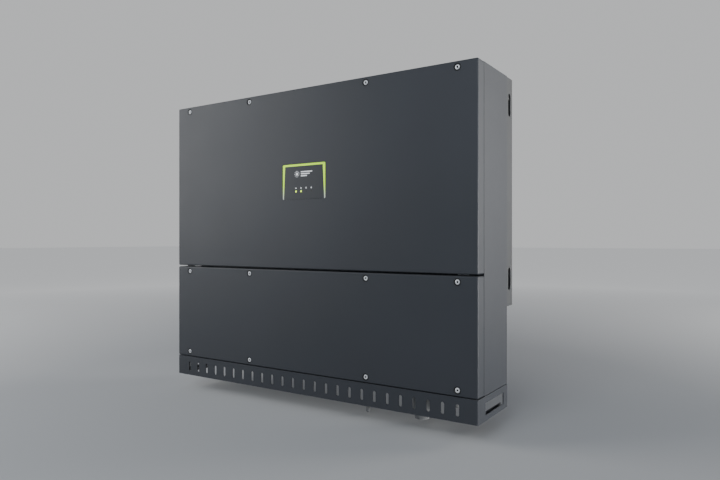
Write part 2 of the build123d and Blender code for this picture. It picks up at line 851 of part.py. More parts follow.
def switch_knob(point):
    """A round knob with a grip bar across it, on a shaft that reaches up into the switch."""
    with BuildPart() as knob:
        with BuildSketch(Plane.XY.offset(knob_high)):
            with Locations(point):
                Circle(knob_radius)
        extrude(amount=-knob_disc_height)
        fillet(knob.faces().sort_by(Axis.Z)[0].edges(), knob_edge)
        with BuildSketch(Plane.XY.offset(knob_high)):
            with Locations(point):
                SlotOverall(knob_grip_length, knob_grip_width)
        extrude(amount=-knob_height)
        fillet(knob.faces().sort_by(Axis.Z)[0].edges(), knob_edge)
        with BuildSketch(Plane.XY.offset(knob_high)):
            with Locations(point):
                Circle(shaft_radius)
        extrude(amount=plate_high - knob_high + shaft_in_switch)
    return knob.part


save(switch_knob(knob_points[0]), "dc_switch_knob_1")
save(switch_knob(knob_points[1]), "dc_switch_knob_2")

with BuildPart() as dc_switch_bodies:
    with BuildSketch(Plane.XY.offset(plate_high)):
        with Locations(*knob_points):
            RectangleRounded(switch_size[0], switch_size[1], switch_corner)
            Circle(shaft_radius + shaft_clearance, mode=Mode.SUBTRACT)
    extrude(amount=switch_bore_depth)
    with BuildSketch(Plane.XY.offset(plate_high + switch_bore_depth)):
        with Locations(*knob_points):
            RectangleRounded(switch_size[0], switch_size[1], switch_corner)
    extrude(amount=switch_size[2] - switch_bore_depth)
save(dc_switch_bodies.part, "dc_switch_bodies")

# --- Inside the wiring compartment ------------------------------------------------------------------
rail_z = case_low + rail_rise
din_front = fan_back - rail_depth_din
fuse_first = (dc_xs[0] + dc_xs[-1] - dc_count * fuse_width) / 2
arrester_first = fuse_first + dc_count * fuse_width + arrester_gap
terminal_first = ac_point[0] - terminal_offset
rail_start = fuse_first - rail_ends[0]
rail_end = terminal_first + terminal_count * terminal_width + rail_ends[1]

# Half of the top-hat section, from the lip's edge to the web; the other half mirrors it.
rail_outside = rail_web_half + rail_sheet
hat_half = [
    (din_front, rail_half), (din_front, rail_web_half), (fan_back - rail_sheet, rail_web_half),
    (fan_back - rail_sheet, 0.0), (fan_back, 0.0), (fan_back, rail_outside),
    (din_front + rail_sheet, rail_outside), (din_front + rail_sheet, rail_half),
]
with BuildPart() as din_rail:
    with BuildSketch(Plane.YZ.offset(rail_start)):
        for half in (1, -1):
            with BuildLine():
                Polyline(*[(y, rail_z + half * z) for y, z in hat_half], close=True)
            make_face()
    extrude(amount=rail_end - rail_start)
save(din_rail.part, "din_rail")


def din_modules(first_x, count, width, height, depth):
    """A row of modules on the rail, each with a stepped front."""
    with BuildPart() as modules:
        with BuildSketch(front_plane(din_front)):
            with Locations(*[(first_x + (i + 0.5) * width, rail_z) for i in range(count)]):
                Rectangle(width - module_play, height)
        extrude(amount=depth * din_shoulder)
        with BuildSketch(front_plane(din_front - depth * din_shoulder)):
            with Locations(*[(first_x + (i + 0.5) * width, rail_z) for i in range(count)]):
                Rectangle(width - module_play, height * din_nose)
        extrude(amount=depth * (1 - din_shoulder))
    return modules.part


save(din_modules(fuse_first, dc_count, fuse_width, fuse_height, fuse_depth), "dc_fuse_holders")
save(din_modules(arrester_first, arrester_count, fuse_width, arrester_height, fuse_depth), "surge_arresters")
terminals = din_modules(terminal_first, terminal_count, terminal_width, terminal_height, terminal_depth)
save(terminals, "ac_terminal_block")


def leads(routes, radius, bend):
    """Insulated conductors, each along straight runs joined by arcs."""
    with BuildPart() as bundle:
        for route in routes:
            with BuildLine():
                FilletPolyline(*route, radius=bend)
            direction = Vector(*route[1]) - Vector(*route[0])
            with BuildSketch(Plane(origin=route[0], z_dir=direction)):
                Circle(radius)
            sweep()
    return bundle.part


socket_top = plate_high + dc_stem_rise
holder_low = rail_z - fuse_height / 2
dc_routes = []
for i, socket_x in enumerate(dc_xs):
    holder_x = fuse_first + (i + 0.5) * fuse_width
    for back, entry in zip(dc_back, holder_entries):
        socket_y = case_back - back
        holder_y = din_front - entry
        dc_routes.append([
            (socket_x, socket_y, socket_top),
            (socket_x, socket_y, socket_top + lead_straight),
            (holder_x, holder_y, holder_low - lead_straight),
            (holder_x, holder_y, holder_low),
        ])
save(leads(dc_routes, dc_lead_radius, dc_lead_bend), "dc_leads")

bar_x = ac_point[0] - ground_bar_offset
bar_y = case_back - ground_bar_back
bar_z = plate_high + ground_bar_rise
with BuildPart() as ground_bar:
    with BuildSketch(Plane.XY.offset(bar_z)):
        with Locations((bar_x, bar_y)):
            Rectangle(ground_bar_length, ground_bar_width)
    extrude(amount=ground_bar_sheet)
    with BuildSketch(Plane.XY.offset(bar_z + ground_bar_sheet)):
        with Locations((bar_x, bar_y)):
            with GridLocations(ground_screw_pitch, 1, ground_screw_count, 1):
                Circle(ground_screw_radius)
    extrude(amount=ground_bar_sheet)
    with BuildSketch(Plane.XY.offset(plate_high)):
        with Locations((bar_x, bar_y)):
            with GridLocations(ground_bar_length - ground_bar_width, 1, 2, 1):
                Rectangle(ground_foot_width, ground_foot_width)
    extrude(amount=ground_bar_rise)
save(ground_bar.part, "ground_bar")

comm_z = (shelf_high + partition_high - sheet) / 2
comm_back = rear_wall - sheet - comm_stand_off
with BuildPart() as communication_board:
    with BuildSketch(front_plane(comm_back)):
        with Locations((comm_x, comm_z)):
            Rectangle(*comm_size)
    extrude(amount=board_sheet)
    with BuildSketch(front_plane(rear_wall - sheet)):
        with Locations((comm_x, comm_z)):
            with GridLocations(comm_size[0] - 2 * post_inset, comm_size[1] - 2 * post_inset, 2, 2):
                Circle(post_radius)
    extrude(amount=comm_stand_off)
    with BuildSketch(front_plane(comm_back - board_sheet)):
        with Locations((comm_x, comm_z - port_drop)):
            with GridLocations(port_pitch, 1, port_count, 1):
                Rectangle(port_size[0], port_size[1])
    extrude(amount=port_size[2])
save(communication_board.part, "communication_board")

# --- Inside the power compartment ---------------------------------------------------------------------
module_front = rear_wall - module_size[2]
module_z = (sink_window_low + sink_window_high) / 2
module_count = int(sink_window_width / module_pitch)
with BuildPart() as power_modules:
    with BuildSketch(front_plane(rear_wall)):
        with Locations((0, module_z)):
            with GridLocations(module_pitch, 1, module_count, 1):
                RectangleRounded(module_size[0], module_size[1], module_corner)
    extrude(amount=module_size[2])
save(power_modules.part, "power_modules")

board_width = sink_width - 2 * board_from_sink
board_z = (board_low + board_high) / 2
board_front = module_front - board_sheet  # the board sits on the modules it drives
with BuildPart() as power_board:
    with BuildSketch(front_plane(module_front)):
        with Locations((0, board_z)):
            Rectangle(board_width, board_high - board_low)
    extrude(amount=board_sheet)
save(power_board.part, "power_board")

with BuildPart() as link_capacitors:
    with BuildSketch(front_plane(board_front)):
        with Locations((capacitor_middle[0], board_z + capacitor_middle[1])):
            with GridLocations(*capacitor_pitch, *capacitor_grid):
                RectangleRounded(capacitor_size[0], capacitor_size[1], module_corner)
    extrude(amount=capacitor_size[2])
save(link_capacitors.part, "link_capacitors")

with BuildPart() as grid_relays:
    with BuildSketch(front_plane(board_front)):
        with Locations((relay_middle[0], board_z + relay_middle[1])):
            with GridLocations(*relay_pitch, *relay_grid):
                Rectangle(relay_size[0], relay_size[1])
    extrude(amount=relay_size[2])
save(grid_relays.part, "grid_relays")

control_x = control_middle[0]
control_z = board_z + control_middle[1]
control_back = board_front - control_stand_off
with BuildPart() as control_board:
    with BuildSketch(front_plane(control_back)):
        with Locations((control_x, control_z)):
            Rectangle(*control_size)
    extrude(amount=board_sheet)
    with BuildSketch(front_plane(board_front)):
        with Locations((control_x, control_z)):
            with GridLocations(*[side - 2 * control_post_inset for side in control_size], 2, 2):
                Circle(post_radius)
    extrude(amount=control_stand_off)
    with BuildSketch(front_plane(control_back - board_sheet)):
        with Locations((control_x + chip_middle[0], control_z + chip_middle[1])):
            Rectangle(chip_size[0], chip_size[1])
        with Locations(*[(control_x + x, control_z + z) for x, z in connector_middles]):
            Rectangle(*connector_size)
    extrude(amount=chip_size[2])
save(control_board.part, "control_board")

choke_z = (partition_high + board_low) / 2 - choke_drop
choke_points = [(x, choke_z) for x in choke_xs]
choke_body_height = choke_height - 2 * choke_foot_ledge[1]
with BuildPart() as power_chokes:
    with BuildSketch(front_plane(rear_wall - sheet)):
        with Locations(*choke_points):
            Rectangle(choke_width, choke_height)
    extrude(amount=choke_foot)
    with BuildSketch(front_plane(rear_wall - sheet - choke_foot)):
        with Locations(*choke_points):
            RectangleRounded(choke_width - 2 * choke_foot_ledge[0], choke_body_height, choke_corner)
    extrude(amount=choke_depth - choke_foot)
    fillet(power_chokes.faces().group_by(Axis.Y)[0].edges(), choke_edge)
save(power_chokes.part, "power_chokes")

terminal_front = din_front - terminal_depth * din_shoulder
terminal_z = rail_z + terminal_height * terminal_entry
ac_routes = []
for i, lead_x in enumerate(ac_lead_xs):
    terminal_x = terminal_first + (i + 0.5) * terminal_width
    ac_routes.append([
        (terminal_x, terminal_front, terminal_z),
        (terminal_x, ac_lead_y, terminal_z),
        (lead_x, ac_lead_y, terminal_z + ac_lead_climb),
        (lead_x, ac_lead_y, choke_z - choke_body_height / 2),
    ])
save(leads(ac_routes, ac_lead_radius, ac_lead_bend), "ac_leads")

# --- Heat sink and fans -----------------------------------------------------------------------------------
fin_count = int((sink_width - fin_thickness) / fin_pitch) + 1
fin_root = rear_wall + sink_base / 2
with BuildPart() as heat_sink:
    with BuildSketch(Plane.XY.offset(sink_low)):
        with Locations((0, rear_wall)):
            Rectangle(sink_width, sink_base, align=(Align.CENTER, Align.MIN))
        with Locations((0, fin_root)):
            with GridLocations(fin_pitch, 1, fin_count, 1):
                Rectangle(fin_thickness, sink_back - fin_root, align=(Align.CENTER, Align.MIN))
    extrude(amount=sink_high - sink_low)
save(heat_sink.part, "heat_sink")

flange_inner = half_width - rear_flange
fan_plate_high = sink_low - sink_back_gap
fan_points = [(x, fan_z) for x in fan_xs]
fan_corner_points = [
    (x + dx * fan_hole_spacing / 2, fan_z + dz * fan_hole_spacing / 2)
    for x in fan_xs
    for dx in (-1, 1)
    for dz in (-1, 1)
]
with BuildPart() as fan_plate:
    with BuildSketch(front_plane(case_back)):
        with Locations((0, (shelf_high + fan_plate_high) / 2)):
            Rectangle(2 * flange_inner, fan_plate_high - shelf_high)
        with Locations(*fan_points):
            Circle(fan_bore, mode=Mode.SUBTRACT)
        with Locations(*fan_corner_points):
            Circle(fan_hole_radius, mode=Mode.SUBTRACT)
    extrude(amount=sheet)
save(fan_plate.part, "fan_plate")


def fan_housing(x):
    """A square frame with a round bore, and a motor mount on four struts at its rear face."""
    corners = [p for p in fan_corner_points if abs(p[0] - x) < fan_size]
    with BuildPart() as housing:
        with BuildSketch(front_plane(fan_back)):
            with Locations((x, fan_z)):
                RectangleRounded(fan_size, fan_size, fan_corner)
                Circle(fan_bore, mode=Mode.SUBTRACT)
            with Locations(*corners):
                Circle(fan_hole_radius, mode=Mode.SUBTRACT)
        extrude(amount=fan_thickness)
        with BuildSketch(front_plane(fan_back)):
            with Locations((x, fan_z)):
                Circle(fan_hub)
                with PolarLocations(0, 4, start_angle=45):
                    Rectangle(fan_bore + rotor_gap, strut_width, align=(Align.MIN, Align.CENTER))
        extrude(amount=strut_depth)
    return housing.part


rotor_back = fan_back - strut_depth - rotor_gap
rotor_depth = fan_thickness - strut_depth - rotor_recess
blade_reach = fan_bore - fan_tip_gap


def fan_rotor(x):
    """A hub with blades set at an angle, cut to a cylinder that clears the housing's bore."""
    with BuildPart() as rotor:
        with Locations((x, rotor_back - rotor_depth / 2, fan_z)):
            with Locations(Rotation(90, 0, 0)):
                Cylinder(fan_hub, rotor_depth)
                with PolarLocations(0, blade_count):
                    with Locations(Rotation(blade_pitch_angle, 0, 0)):
                        Box(
                            blade_reach + blade_overrun,
                            blade_chord,
                            blade_sheet,
                            align=(Align.MIN, Align.CENTER, Align.CENTER),
                        )
                Cylinder(blade_reach, rotor_depth, mode=Mode.INTERSECT)
        front_faces = rotor.faces().filter_by(GeomType.PLANE).filter_by(Axis.Y)
        fillet(front_faces.sort_by(Axis.Y)[0].edges().filter_by(GeomType.CIRCLE), hub_edge)
    return rotor.part


for name, x in zip(("left", "middle", "right"), fan_xs):
    save(fan_rotor(x), f"fan_rotor_{name}")
fan_parts = [fan_housing(x) for x in fan_xs]
save(Compound(children=fan_parts), "fan_housings")


def guard(x):
    """Rings and a cross of flat wire over a fan's opening."""
    with BuildPart() as wires:
        with BuildSketch(front_plane(case_back + guard_wire)):
            with Locations((x, fan_z)):
                for i in range(guard_rings):
                    radius = fan_bore + guard_overlap - i * guard_step
                    Circle(radius)
                    Circle(radius - guard_wire, mode=Mode.SUBTRACT)
                with PolarLocations(0, 2, start_angle=45, angular_range=180):
                    Rectangle(fan_hole_spacing * 2**0.5, guard_wire)
            with Locations(*[p for p in fan_corner_points if abs(p[0] - x) < fan_size]):
                Circle(fan_hole_radius * 1.8)
                Circle(fan_hole_radius, mode=Mode.SUBTRACT)
        extrude(amount=guard_wire)
    return wires.part


save(Compound(children=[guard(x) for x in fan_xs]), "fan_guards")

# --- Hanger on the case and bracket on the wall ---------------------------------------------------------
hanger_half = half_width - hanger_from_side
hanger_top = hook_tip + hook_sheet
with BuildPart() as hanger_rail:
    plate(
        (-hanger_half, case_back, hook_floor - hanger_tail),
        (hanger_half, case_back + hook_sheet, hanger_top),
    )
    plate((-hanger_half, case_back, hook_tip), (hanger_half, hanger_lip_back, hanger_top))
    plate(
        (-hanger_half, hanger_lip_back - hook_sheet, hook_floor + hook_clearance),
        (hanger_half, hanger_lip_back, hanger_top),
    )
save(hanger_rail.part, "hanger_rail")


bolt_x = rail_face - bolt_from_face


def bracket_rail(side):
    """An upright angle: a back flange on the wall and a side flange with two slots."""
    with BuildPart() as rail:
        with BuildSketch(Plane.XY.offset(-bracket_height / 2)):
            with Locations((side * (rail_face - bracket_sheet / 2), 0)):
                Rectangle(bracket_sheet, rail_depth, align=(Align.CENTER, Align.MAX))
            with Locations((side * (rail_face - rail_width / 2), 0)):
                Rectangle(rail_width, bracket_back, align=(Align.CENTER, Align.MAX))
        extrude(amount=bracket_height)
        with BuildSketch(Plane.YZ.offset(side * rail_face)):
            with Locations((side_slot_y, -side_slot_z), (side_slot_y, side_slot_z)):
                SlotOverall(side_slot_length, side_slot_width, rotation=90)
        extrude(amount=-side * bracket_sheet, mode=Mode.SUBTRACT)
        with Locations(front_plane(0)):
            with Locations((side * bolt_x, -bolt_spacing_z / 2), (side * bolt_x, bolt_spacing_z / 2)):
                Hole(bolt_radius)
    return rail.part


save(bracket_rail(-1), "bracket_rail_left")
save(bracket_rail(1), "bracket_rail_right")

cross_half = rail_face - bracket_sheet - cross_rail_end
cross_face = -2 * bracket_back
with BuildPart() as bracket_hook_rail:
    plate((-cross_half, cross_face, hook_floor - hook_sheet), (cross_half, -bracket_back, top - hook_top_gap))
    plate((-cross_half, hook_front, hook_floor - hook_sheet), (cross_half, -bracket_back, hook_floor))
    plate((-cross_half, hook_front, hook_floor - hook_sheet), (cross_half, hook_front + hook_sheet, hook_tip))
save(bracket_hook_rail.part, "bracket_hook_rail")

with BuildPart() as bracket_lower_rail:
    plate((-cross_half, cross_face, -top), (cross_half, -bracket_back, -top + cross_rail_height))
    plate((-cross_half, cross_face - cross_rail_foot, -top), (cross_half, cross_face, -top + bracket_sheet))
save(bracket_lower_rail.part, "bracket_lower_rail")
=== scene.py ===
import math
import bpy
import bmesh
from mathutils import Matrix, Vector


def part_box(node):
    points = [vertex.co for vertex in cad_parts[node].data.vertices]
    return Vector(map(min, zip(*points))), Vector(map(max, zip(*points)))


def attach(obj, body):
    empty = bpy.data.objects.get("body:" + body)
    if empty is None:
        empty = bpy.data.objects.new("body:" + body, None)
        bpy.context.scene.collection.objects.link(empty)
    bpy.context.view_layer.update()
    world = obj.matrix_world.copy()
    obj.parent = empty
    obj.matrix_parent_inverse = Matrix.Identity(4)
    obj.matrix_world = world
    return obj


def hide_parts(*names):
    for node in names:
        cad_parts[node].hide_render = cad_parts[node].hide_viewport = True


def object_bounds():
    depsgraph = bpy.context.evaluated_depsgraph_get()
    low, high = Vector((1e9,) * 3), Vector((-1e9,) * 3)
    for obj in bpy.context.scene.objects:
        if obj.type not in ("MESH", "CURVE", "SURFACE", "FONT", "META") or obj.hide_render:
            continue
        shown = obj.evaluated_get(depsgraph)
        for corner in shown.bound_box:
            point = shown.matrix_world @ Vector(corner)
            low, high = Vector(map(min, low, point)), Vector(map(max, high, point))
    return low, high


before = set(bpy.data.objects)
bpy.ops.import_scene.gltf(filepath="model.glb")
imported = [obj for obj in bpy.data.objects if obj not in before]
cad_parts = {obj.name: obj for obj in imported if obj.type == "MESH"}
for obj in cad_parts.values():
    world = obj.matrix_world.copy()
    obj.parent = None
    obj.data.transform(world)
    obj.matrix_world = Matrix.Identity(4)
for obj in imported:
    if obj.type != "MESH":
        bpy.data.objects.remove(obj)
cadBox = [list(corner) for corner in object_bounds()]
mm = 0.001
scene = bpy.context.scene


def boxOf(node):
    low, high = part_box(node)
    return low, high, (low + high) / 2


caseHigh = boxOf("upper_lid")[1]
frontFace = boxOf("upper_lid")[0].y
print("stage: frame loaded,", len(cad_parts), "nodes")

# Camera: level, to the right of the case and at about its middle height.
cameraPlace = {"right": 872.7 * mm, "away": 1097.6 * mm, "down": 352 * mm, "turn": 33.14, "lens": 30.22}
cameraData = bpy.data.cameras.new("camera")
cameraData.lens = cameraPlace["lens"]
cameraData.sensor_width = 36
camera = bpy.data.objects.new("camera", cameraData)
camera.location = (cameraPlace["right"], frontFace - cameraPlace["away"], caseHigh.z - cameraPlace["down"])
camera.rotation_euler = (math.radians(90), 0, math.radians(cameraPlace["turn"]))
scene.collection.objects.link(camera)
scene.camera = camera

# Stage: a pale floor just below the wall-hung case, and soft lights.
stageSet = {
    "floorDrop": 0.004, "floorSize": 60, "floorColour": (0.70, 0.70, 0.69, 1),
    "floorGlow": 0.62, "glowFrom": 0.9, "glowTo": 4.0,
    "seenSky": (0.72, 0.73, 0.74, 1), "seenStrength": 0.80,
    "softSky": (0.70, 0.80, 1.0, 1), "softStrength": 0.14,
}

# The floor's own collection lets the flank and rear lamps leave it out, so that it keeps the case's shadow.
floorOnly = bpy.data.collections.new("floorOnly")


def softLight(name, place, target, size, power, colour=(1, 1, 1), skipFloor=False):
    data = bpy.data.lights.new(name, "AREA")
    data.shape = "RECTANGLE"
    data.size, data.size_y = size
    data.energy = power
    data.color = colour
    light = bpy.data.objects.new(name, data)
    light.location = place
    light.rotation_euler = (Vector(target) - Vector(place)).to_track_quat("-Z", "Y").to_euler()
    light.visible_camera = False
    if skipFloor:
        light.light_linking.receiver_collection = floorOnly
    scene.collection.objects.link(light)


softLight("keyLight", (-2.6, -1.7, 0.85), (-0.2, -0.2, 0), (2.2, 2.2), 50)
softLight("fillLight", (0.6, -3.4, 1.4), (0, -0.2, -0.1), (2.2, 2.2), 46, (0.84, 0.92, 1))
softLight("sideLight", (2.5, 2.2, 0.45), (0.42, -0.1, -0.1), (1.4, 1.9), 44, (1, 0.99, 0.97))
softLight("flankLight", (2.2, -0.25, -0.25), (0.42, -0.1, -0.42), (0.8, 0.6), 42, (1, 0.99, 0.97), True)
softLight("rearLight", (-1.9, 2.6, 1.6), (0, 0, 0), (1.8, 1.8), 30, (1, 1, 1), True)


def addNode(tree, kind, inputs=None, **settings):
    node = tree.nodes.new(kind)
    for key, value in settings.items():
        setattr(node, key, value)
    for key, value in (inputs or {}).items():
        if isinstance(value, bpy.types.NodeSocket):
            tree.links.new(value, node.inputs[key])
        else:
            node.inputs[key].default_value = value
    return node


def newTree(name, kind, inputs, outputs):
    tree = bpy.data.node_groups.new(name, kind)
    for socketName, socketKind, value in inputs:
        socket = tree.interface.new_socket(name=socketName, in_out="INPUT", socket_type=socketKind)
        if value is not None:
            socket.default_value = value
    for socketName, socketKind in outputs:
        tree.interface.new_socket(name=socketName, in_out="OUTPUT", socket_type=socketKind)
    return tree, addNode(tree, "NodeGroupInput").outputs, addNode(tree, "NodeGroupOutput").inputs


def calc(tree, operation, a, b=0.0, clamp=False):
    return addNode(tree, "ShaderNodeMath", {0: a, 1: b}, operation=operation, use_clamp=clamp).outputs[0]


def spread(tree, value, fromLow, fromHigh, toLow=0.0, toHigh=1.0):
    keys = {"Value": value, "From Min": fromLow, "From Max": fromHigh, "To Min": toLow, "To Max": toHigh}
    return addNode(tree, "ShaderNodeMapRange", keys).outputs["Result"]


def noise(tree, coordinates, scale, detail=2.0, rough=0.5):
    keys = {"Vector": coordinates, "Scale": scale, "Detail": detail, "Roughness": rough}
    return addNode(tree, "ShaderNodeTexNoise", keys).outputs["Fac"]


# Powder coat: a fine leathery grain over a slower ripple, with slight drifts of tone and gloss.
def grainGroup():
    tree, given, put = newTree("powderGrain", "ShaderNodeTree", [
        ("Coordinates", "NodeSocketVector", None), ("Grain", "NodeSocketFloat", 900.0),
        ("Ripple", "NodeSocketFloat", 0.35),
    ], [("Height", "NodeSocketFloat"), ("Tone", "NodeSocketFloat"), ("Gloss", "NodeSocketFloat")])
    fine = noise(tree, given["Coordinates"], given["Grain"], 3.0, 0.6)
    slow = noise(tree, given["Coordinates"], calc(tree, "MULTIPLY", given["Grain"], 0.14), 1.0)
    tree.links.new(calc(tree, "ADD", fine, calc(tree, "MULTIPLY", slow, given["Ripple"])), put["Height"])
    tree.links.new(spread(tree, noise(tree, given["Coordinates"], 3.2, 3.0), 0.3, 0.7), put["Tone"])
    sheen = noise(tree, given["Coordinates"], 11.0, 4.0, 0.65)
    tree.links.new(spread(tree, sheen, 0.25, 0.75), put["Gloss"])
    return tree


# Edge wear and painted highlight: a mask where a rounded normal turns away from the true one, broken up by
# noise; the lighter colour it gives edges is partly wear and partly a painted highlight.
def wearAndHighlightGroup():
    tree, given, put = newTree("edgeWearAndHighlight", "ShaderNodeTree", [
        ("Coordinates", "NodeSocketVector", None), ("Width", "NodeSocketFloat", 0.0012),
        ("Amount", "NodeSocketFloat", 0.5), ("Break", "NodeSocketFloat", 60.0),
    ], [("Mask", "NodeSocketFloat")])
    rounded = addNode(tree, "ShaderNodeBevel", {"Radius": given["Width"]}, samples=4).outputs[0]
    plain = addNode(tree, "ShaderNodeNewGeometry").outputs["Normal"]
    turn = addNode(
        tree, "ShaderNodeVectorMath", {0: rounded, 1: plain}, operation="DOT_PRODUCT"
    ).outputs["Value"]
    edge = spread(tree, turn, 0.995, 0.90)
    patches = spread(tree, noise(tree, given["Coordinates"], given["Break"], 4.0, 0.7), 0.46, 0.66)
    wornAndHighlit = calc(tree, "MULTIPLY", edge, patches)
    tree.links.new(calc(tree, "MULTIPLY", wornAndHighlit, given["Amount"], True), put["Mask"])
    return tree


# Dust: settles on what faces up, thinner where noise says so.
def dustGroup():
    tree, given, put = newTree("settledDust", "ShaderNodeTree", [
        ("Coordinates", "NodeSocketVector", None), ("Amount", "NodeSocketFloat", 0.3),
    ], [("Mask", "NodeSocketFloat")])
    normal = addNode(tree, "ShaderNodeNewGeometry").outputs["Normal"]
    up = addNode(tree, "ShaderNodeSeparateXYZ", {0: normal}).outputs["Z"]
    patches = spread(tree, noise(tree, given["Coordinates"], 24.0, 5.0, 0.6), 0.3, 0.8, 0.3, 1.0)
    lying = calc(tree, "MULTIPLY", spread(tree, up, 0.35, 0.95), patches)
    tree.links.new(calc(tree, "MULTIPLY", lying, given["Amount"], True), put["Mask"])
    return tree


# Brushed or drawn metal: noise stretched along one axis.
def drawnGroup():
    tree, given, put = newTree("drawnMetal", "ShaderNodeTree", [
        ("Coordinates", "NodeSocketVector", None), ("Stretch", "NodeSocketVector", (1.0, 1.0, 0.02)),
        ("Scale", "NodeSocketFloat", 900.0),
    ], [("Height", "NodeSocketFloat"), ("Gloss", "NodeSocketFloat")])
    stretched = addNode(
        tree, "ShaderNodeVectorMath", {0: given["Coordinates"], 1: given["Stretch"]}, operation="MULTIPLY"
    )
    lines = noise(tree, stretched.outputs[0], given["Scale"], 3.0, 0.7)
    clouds = noise(tree, given["Coordinates"], 18.0, 3.0)
    tree.links.new(lines, put["Height"])
    clouded = calc(tree, "ADD", lines, calc(tree, "MULTIPLY", clouds, 0.6))
    tree.links.new(spread(tree, clouded, 0.5, 1.1), put["Gloss"])
    return tree


groups = {"grain": grainGroup(), "wearAndHighlight": wearAndHighlightGroup(), "dust": dustGroup(), "drawn": drawnGroup()}


def placeGroup(tree, name, inputs):
    node = addNode(tree, "ShaderNodeGroup", node_tree=groups[name])
    for key, value in inputs.items():
        if isinstance(value, bpy.types.NodeSocket):
            tree.links.new(value, node.inputs[key])
        else:
            node.inputs[key].default_value = value
    return node.outputs


def blendColours(tree, factor, first, second):
    node = addNode(tree, "ShaderNodeMix", data_type="RGBA")
    sockets = node.inputs["Factor"], node.inputs[6], node.inputs[7]
    for socket, value in zip(sockets, (factor, first, second)):
        if isinstance(value, bpy.types.NodeSocket):
            tree.links.new(value, socket)
        else:
            socket.default_value = value
    return node.outputs[2]


def startMaterial(name, roughness=0.5, metallic=0.0):
    material = bpy.data.materials.new(name)
    material.use_nodes = True
    tree = material.node_tree
    shader = tree.nodes["Principled BSDF"]
    shader.inputs["Roughness"].default_value = roughness
    shader.inputs["Metallic"].default_value = metallic
    coordinates = addNode(tree, "ShaderNodeTexCoord").outputs["Object"]
    return material, tree, shader, coordinates


def addBump(tree, shader, height, strength, distance):
    bump = addNode(tree, "ShaderNodeBump", {"Height": height, "Strength": strength, "Distance": distance})
    tree.links.new(bump.outputs[0], shader.inputs["Normal"])


def rgb(r, g, b):
    return (r, g, b, 1.0)


# One recipe for every painted or moulded surface; each entry is a finish a user might retune.
paints = {
    "casePaint": dict(
        colour=rgb(0.031, 0.035, 0.043), wearAndHighlight=rgb(0.13, 0.135, 0.14), rough=(0.42, 0.46), grain=1100.0,
        bump=0.10, wearAndHighlightAmount=0.35, dust=0.18
    ),
    "bracketPaint": dict(
        colour=rgb(0.046, 0.048, 0.051), wearAndHighlight=rgb(0.30, 0.30, 0.30), rough=(0.40, 0.52), grain=900.0,
        bump=0.12, wearAndHighlightAmount=0.6, dust=0.25
    ),
    "blackNylon": dict(
        colour=rgb(0.018, 0.018, 0.020), wearAndHighlight=rgb(0.07, 0.07, 0.075), rough=(0.42, 0.58), grain=1500.0,
        bump=0.10, wearAndHighlightAmount=0.3, dust=0.15
    ),
    "greyNylon": dict(
        colour=rgb(0.22, 0.225, 0.23), wearAndHighlight=rgb(0.36, 0.36, 0.37), rough=(0.40, 0.55), grain=1300.0,
        bump=0.08, wearAndHighlightAmount=0.25, dust=0.12
    ),
    "whiteHousing": dict(
        colour=rgb(0.62, 0.62, 0.60), wearAndHighlight=rgb(0.7, 0.7, 0.7), rough=(0.35, 0.48), grain=1300.0, bump=0.06,
        wearAndHighlightAmount=0.2, dust=0.05
    ),
    "epoxyCase": dict(
        colour=rgb(0.05, 0.05, 0.055), wearAndHighlight=rgb(0.12, 0.12, 0.12), rough=(0.5, 0.65), grain=1400.0,
        bump=0.1, wearAndHighlightAmount=0.2, dust=0.05
    ),
    "capacitorCase": dict(
        colour=rgb(0.035, 0.075, 0.22), wearAndHighlight=rgb(0.12, 0.16, 0.3), rough=(0.28, 0.4), grain=900.0,
        bump=0.04, wearAndHighlightAmount=0.15, dust=0.05
    ),
    "chokeCan": dict(
        colour=rgb(0.045, 0.05, 0.06), wearAndHighlight=rgb(0.3, 0.3, 0.3), rough=(0.38, 0.55), grain=700.0, bump=0.16,
        wearAndHighlightAmount=0.6, dust=0.05
    ),
    "foamRubber": dict(
        colour=rgb(0.014, 0.014, 0.015), wearAndHighlight=rgb(0.03, 0.03, 0.03), rough=(0.75, 0.9), grain=1600.0,
        bump=0.35, wearAndHighlightAmount=0.1, dust=0.1
    ),
    "leadSleeve": dict(
        colour=rgb(0.016, 0.016, 0.018), wearAndHighlight=rgb(0.03, 0.03, 0.03), rough=(0.38, 0.5), grain=1500.0,
        bump=0.05, wearAndHighlightAmount=0.0, dust=0.05
    ),
    "smokedInsert": dict(
        colour=rgb(0.024, 0.028, 0.034), wearAndHighlight=rgb(0.05, 0.05, 0.055), rough=(0.34, 0.42), grain=1600.0,
        bump=0.03, wearAndHighlightAmount=0.0, dust=0.0
    ),
}


dustColour = rgb(0.30, 0.29, 0.27)


def shaded(colour, share):
    return [min(c * share, 1) for c in colour[:3]] + [1]


def paintMaterial(name, colour, wearAndHighlight, rough, grain, bump, wearAndHighlightAmount, dust):
    material, tree, shader, coordinates = startMaterial(name)
    grained = placeGroup(tree, "grain", {"Coordinates": coordinates, "Grain": grain})
    tones = blendColours(tree, grained["Tone"], shaded(colour, 0.93), shaded(colour, 1.08))
    wornAndHighlit = placeGroup(tree, "wearAndHighlight", {"Coordinates": coordinates, "Amount": wearAndHighlightAmount})
    dusty = placeGroup(tree, "dust", {"Coordinates": coordinates, "Amount": dust})
    # Edges take the lighter wear colour: partly wear, partly a painted highlight along them.
    coloured = blendColours(tree, wornAndHighlit["Mask"], tones, wearAndHighlight)
    tree.links.new(blendColours(tree, dusty["Mask"], coloured, dustColour), shader.inputs["Base Color"])
    gloss = spread(tree, grained["Gloss"], 0, 1, rough[0], rough[1])
    dulled = calc(tree, "ADD", gloss, calc(tree, "MULTIPLY", dusty["Mask"], 0.5), True)
    tree.links.new(dulled, shader.inputs["Roughness"])
    addBump(tree, shader, grained["Height"], bump, 0.0002)
    return material


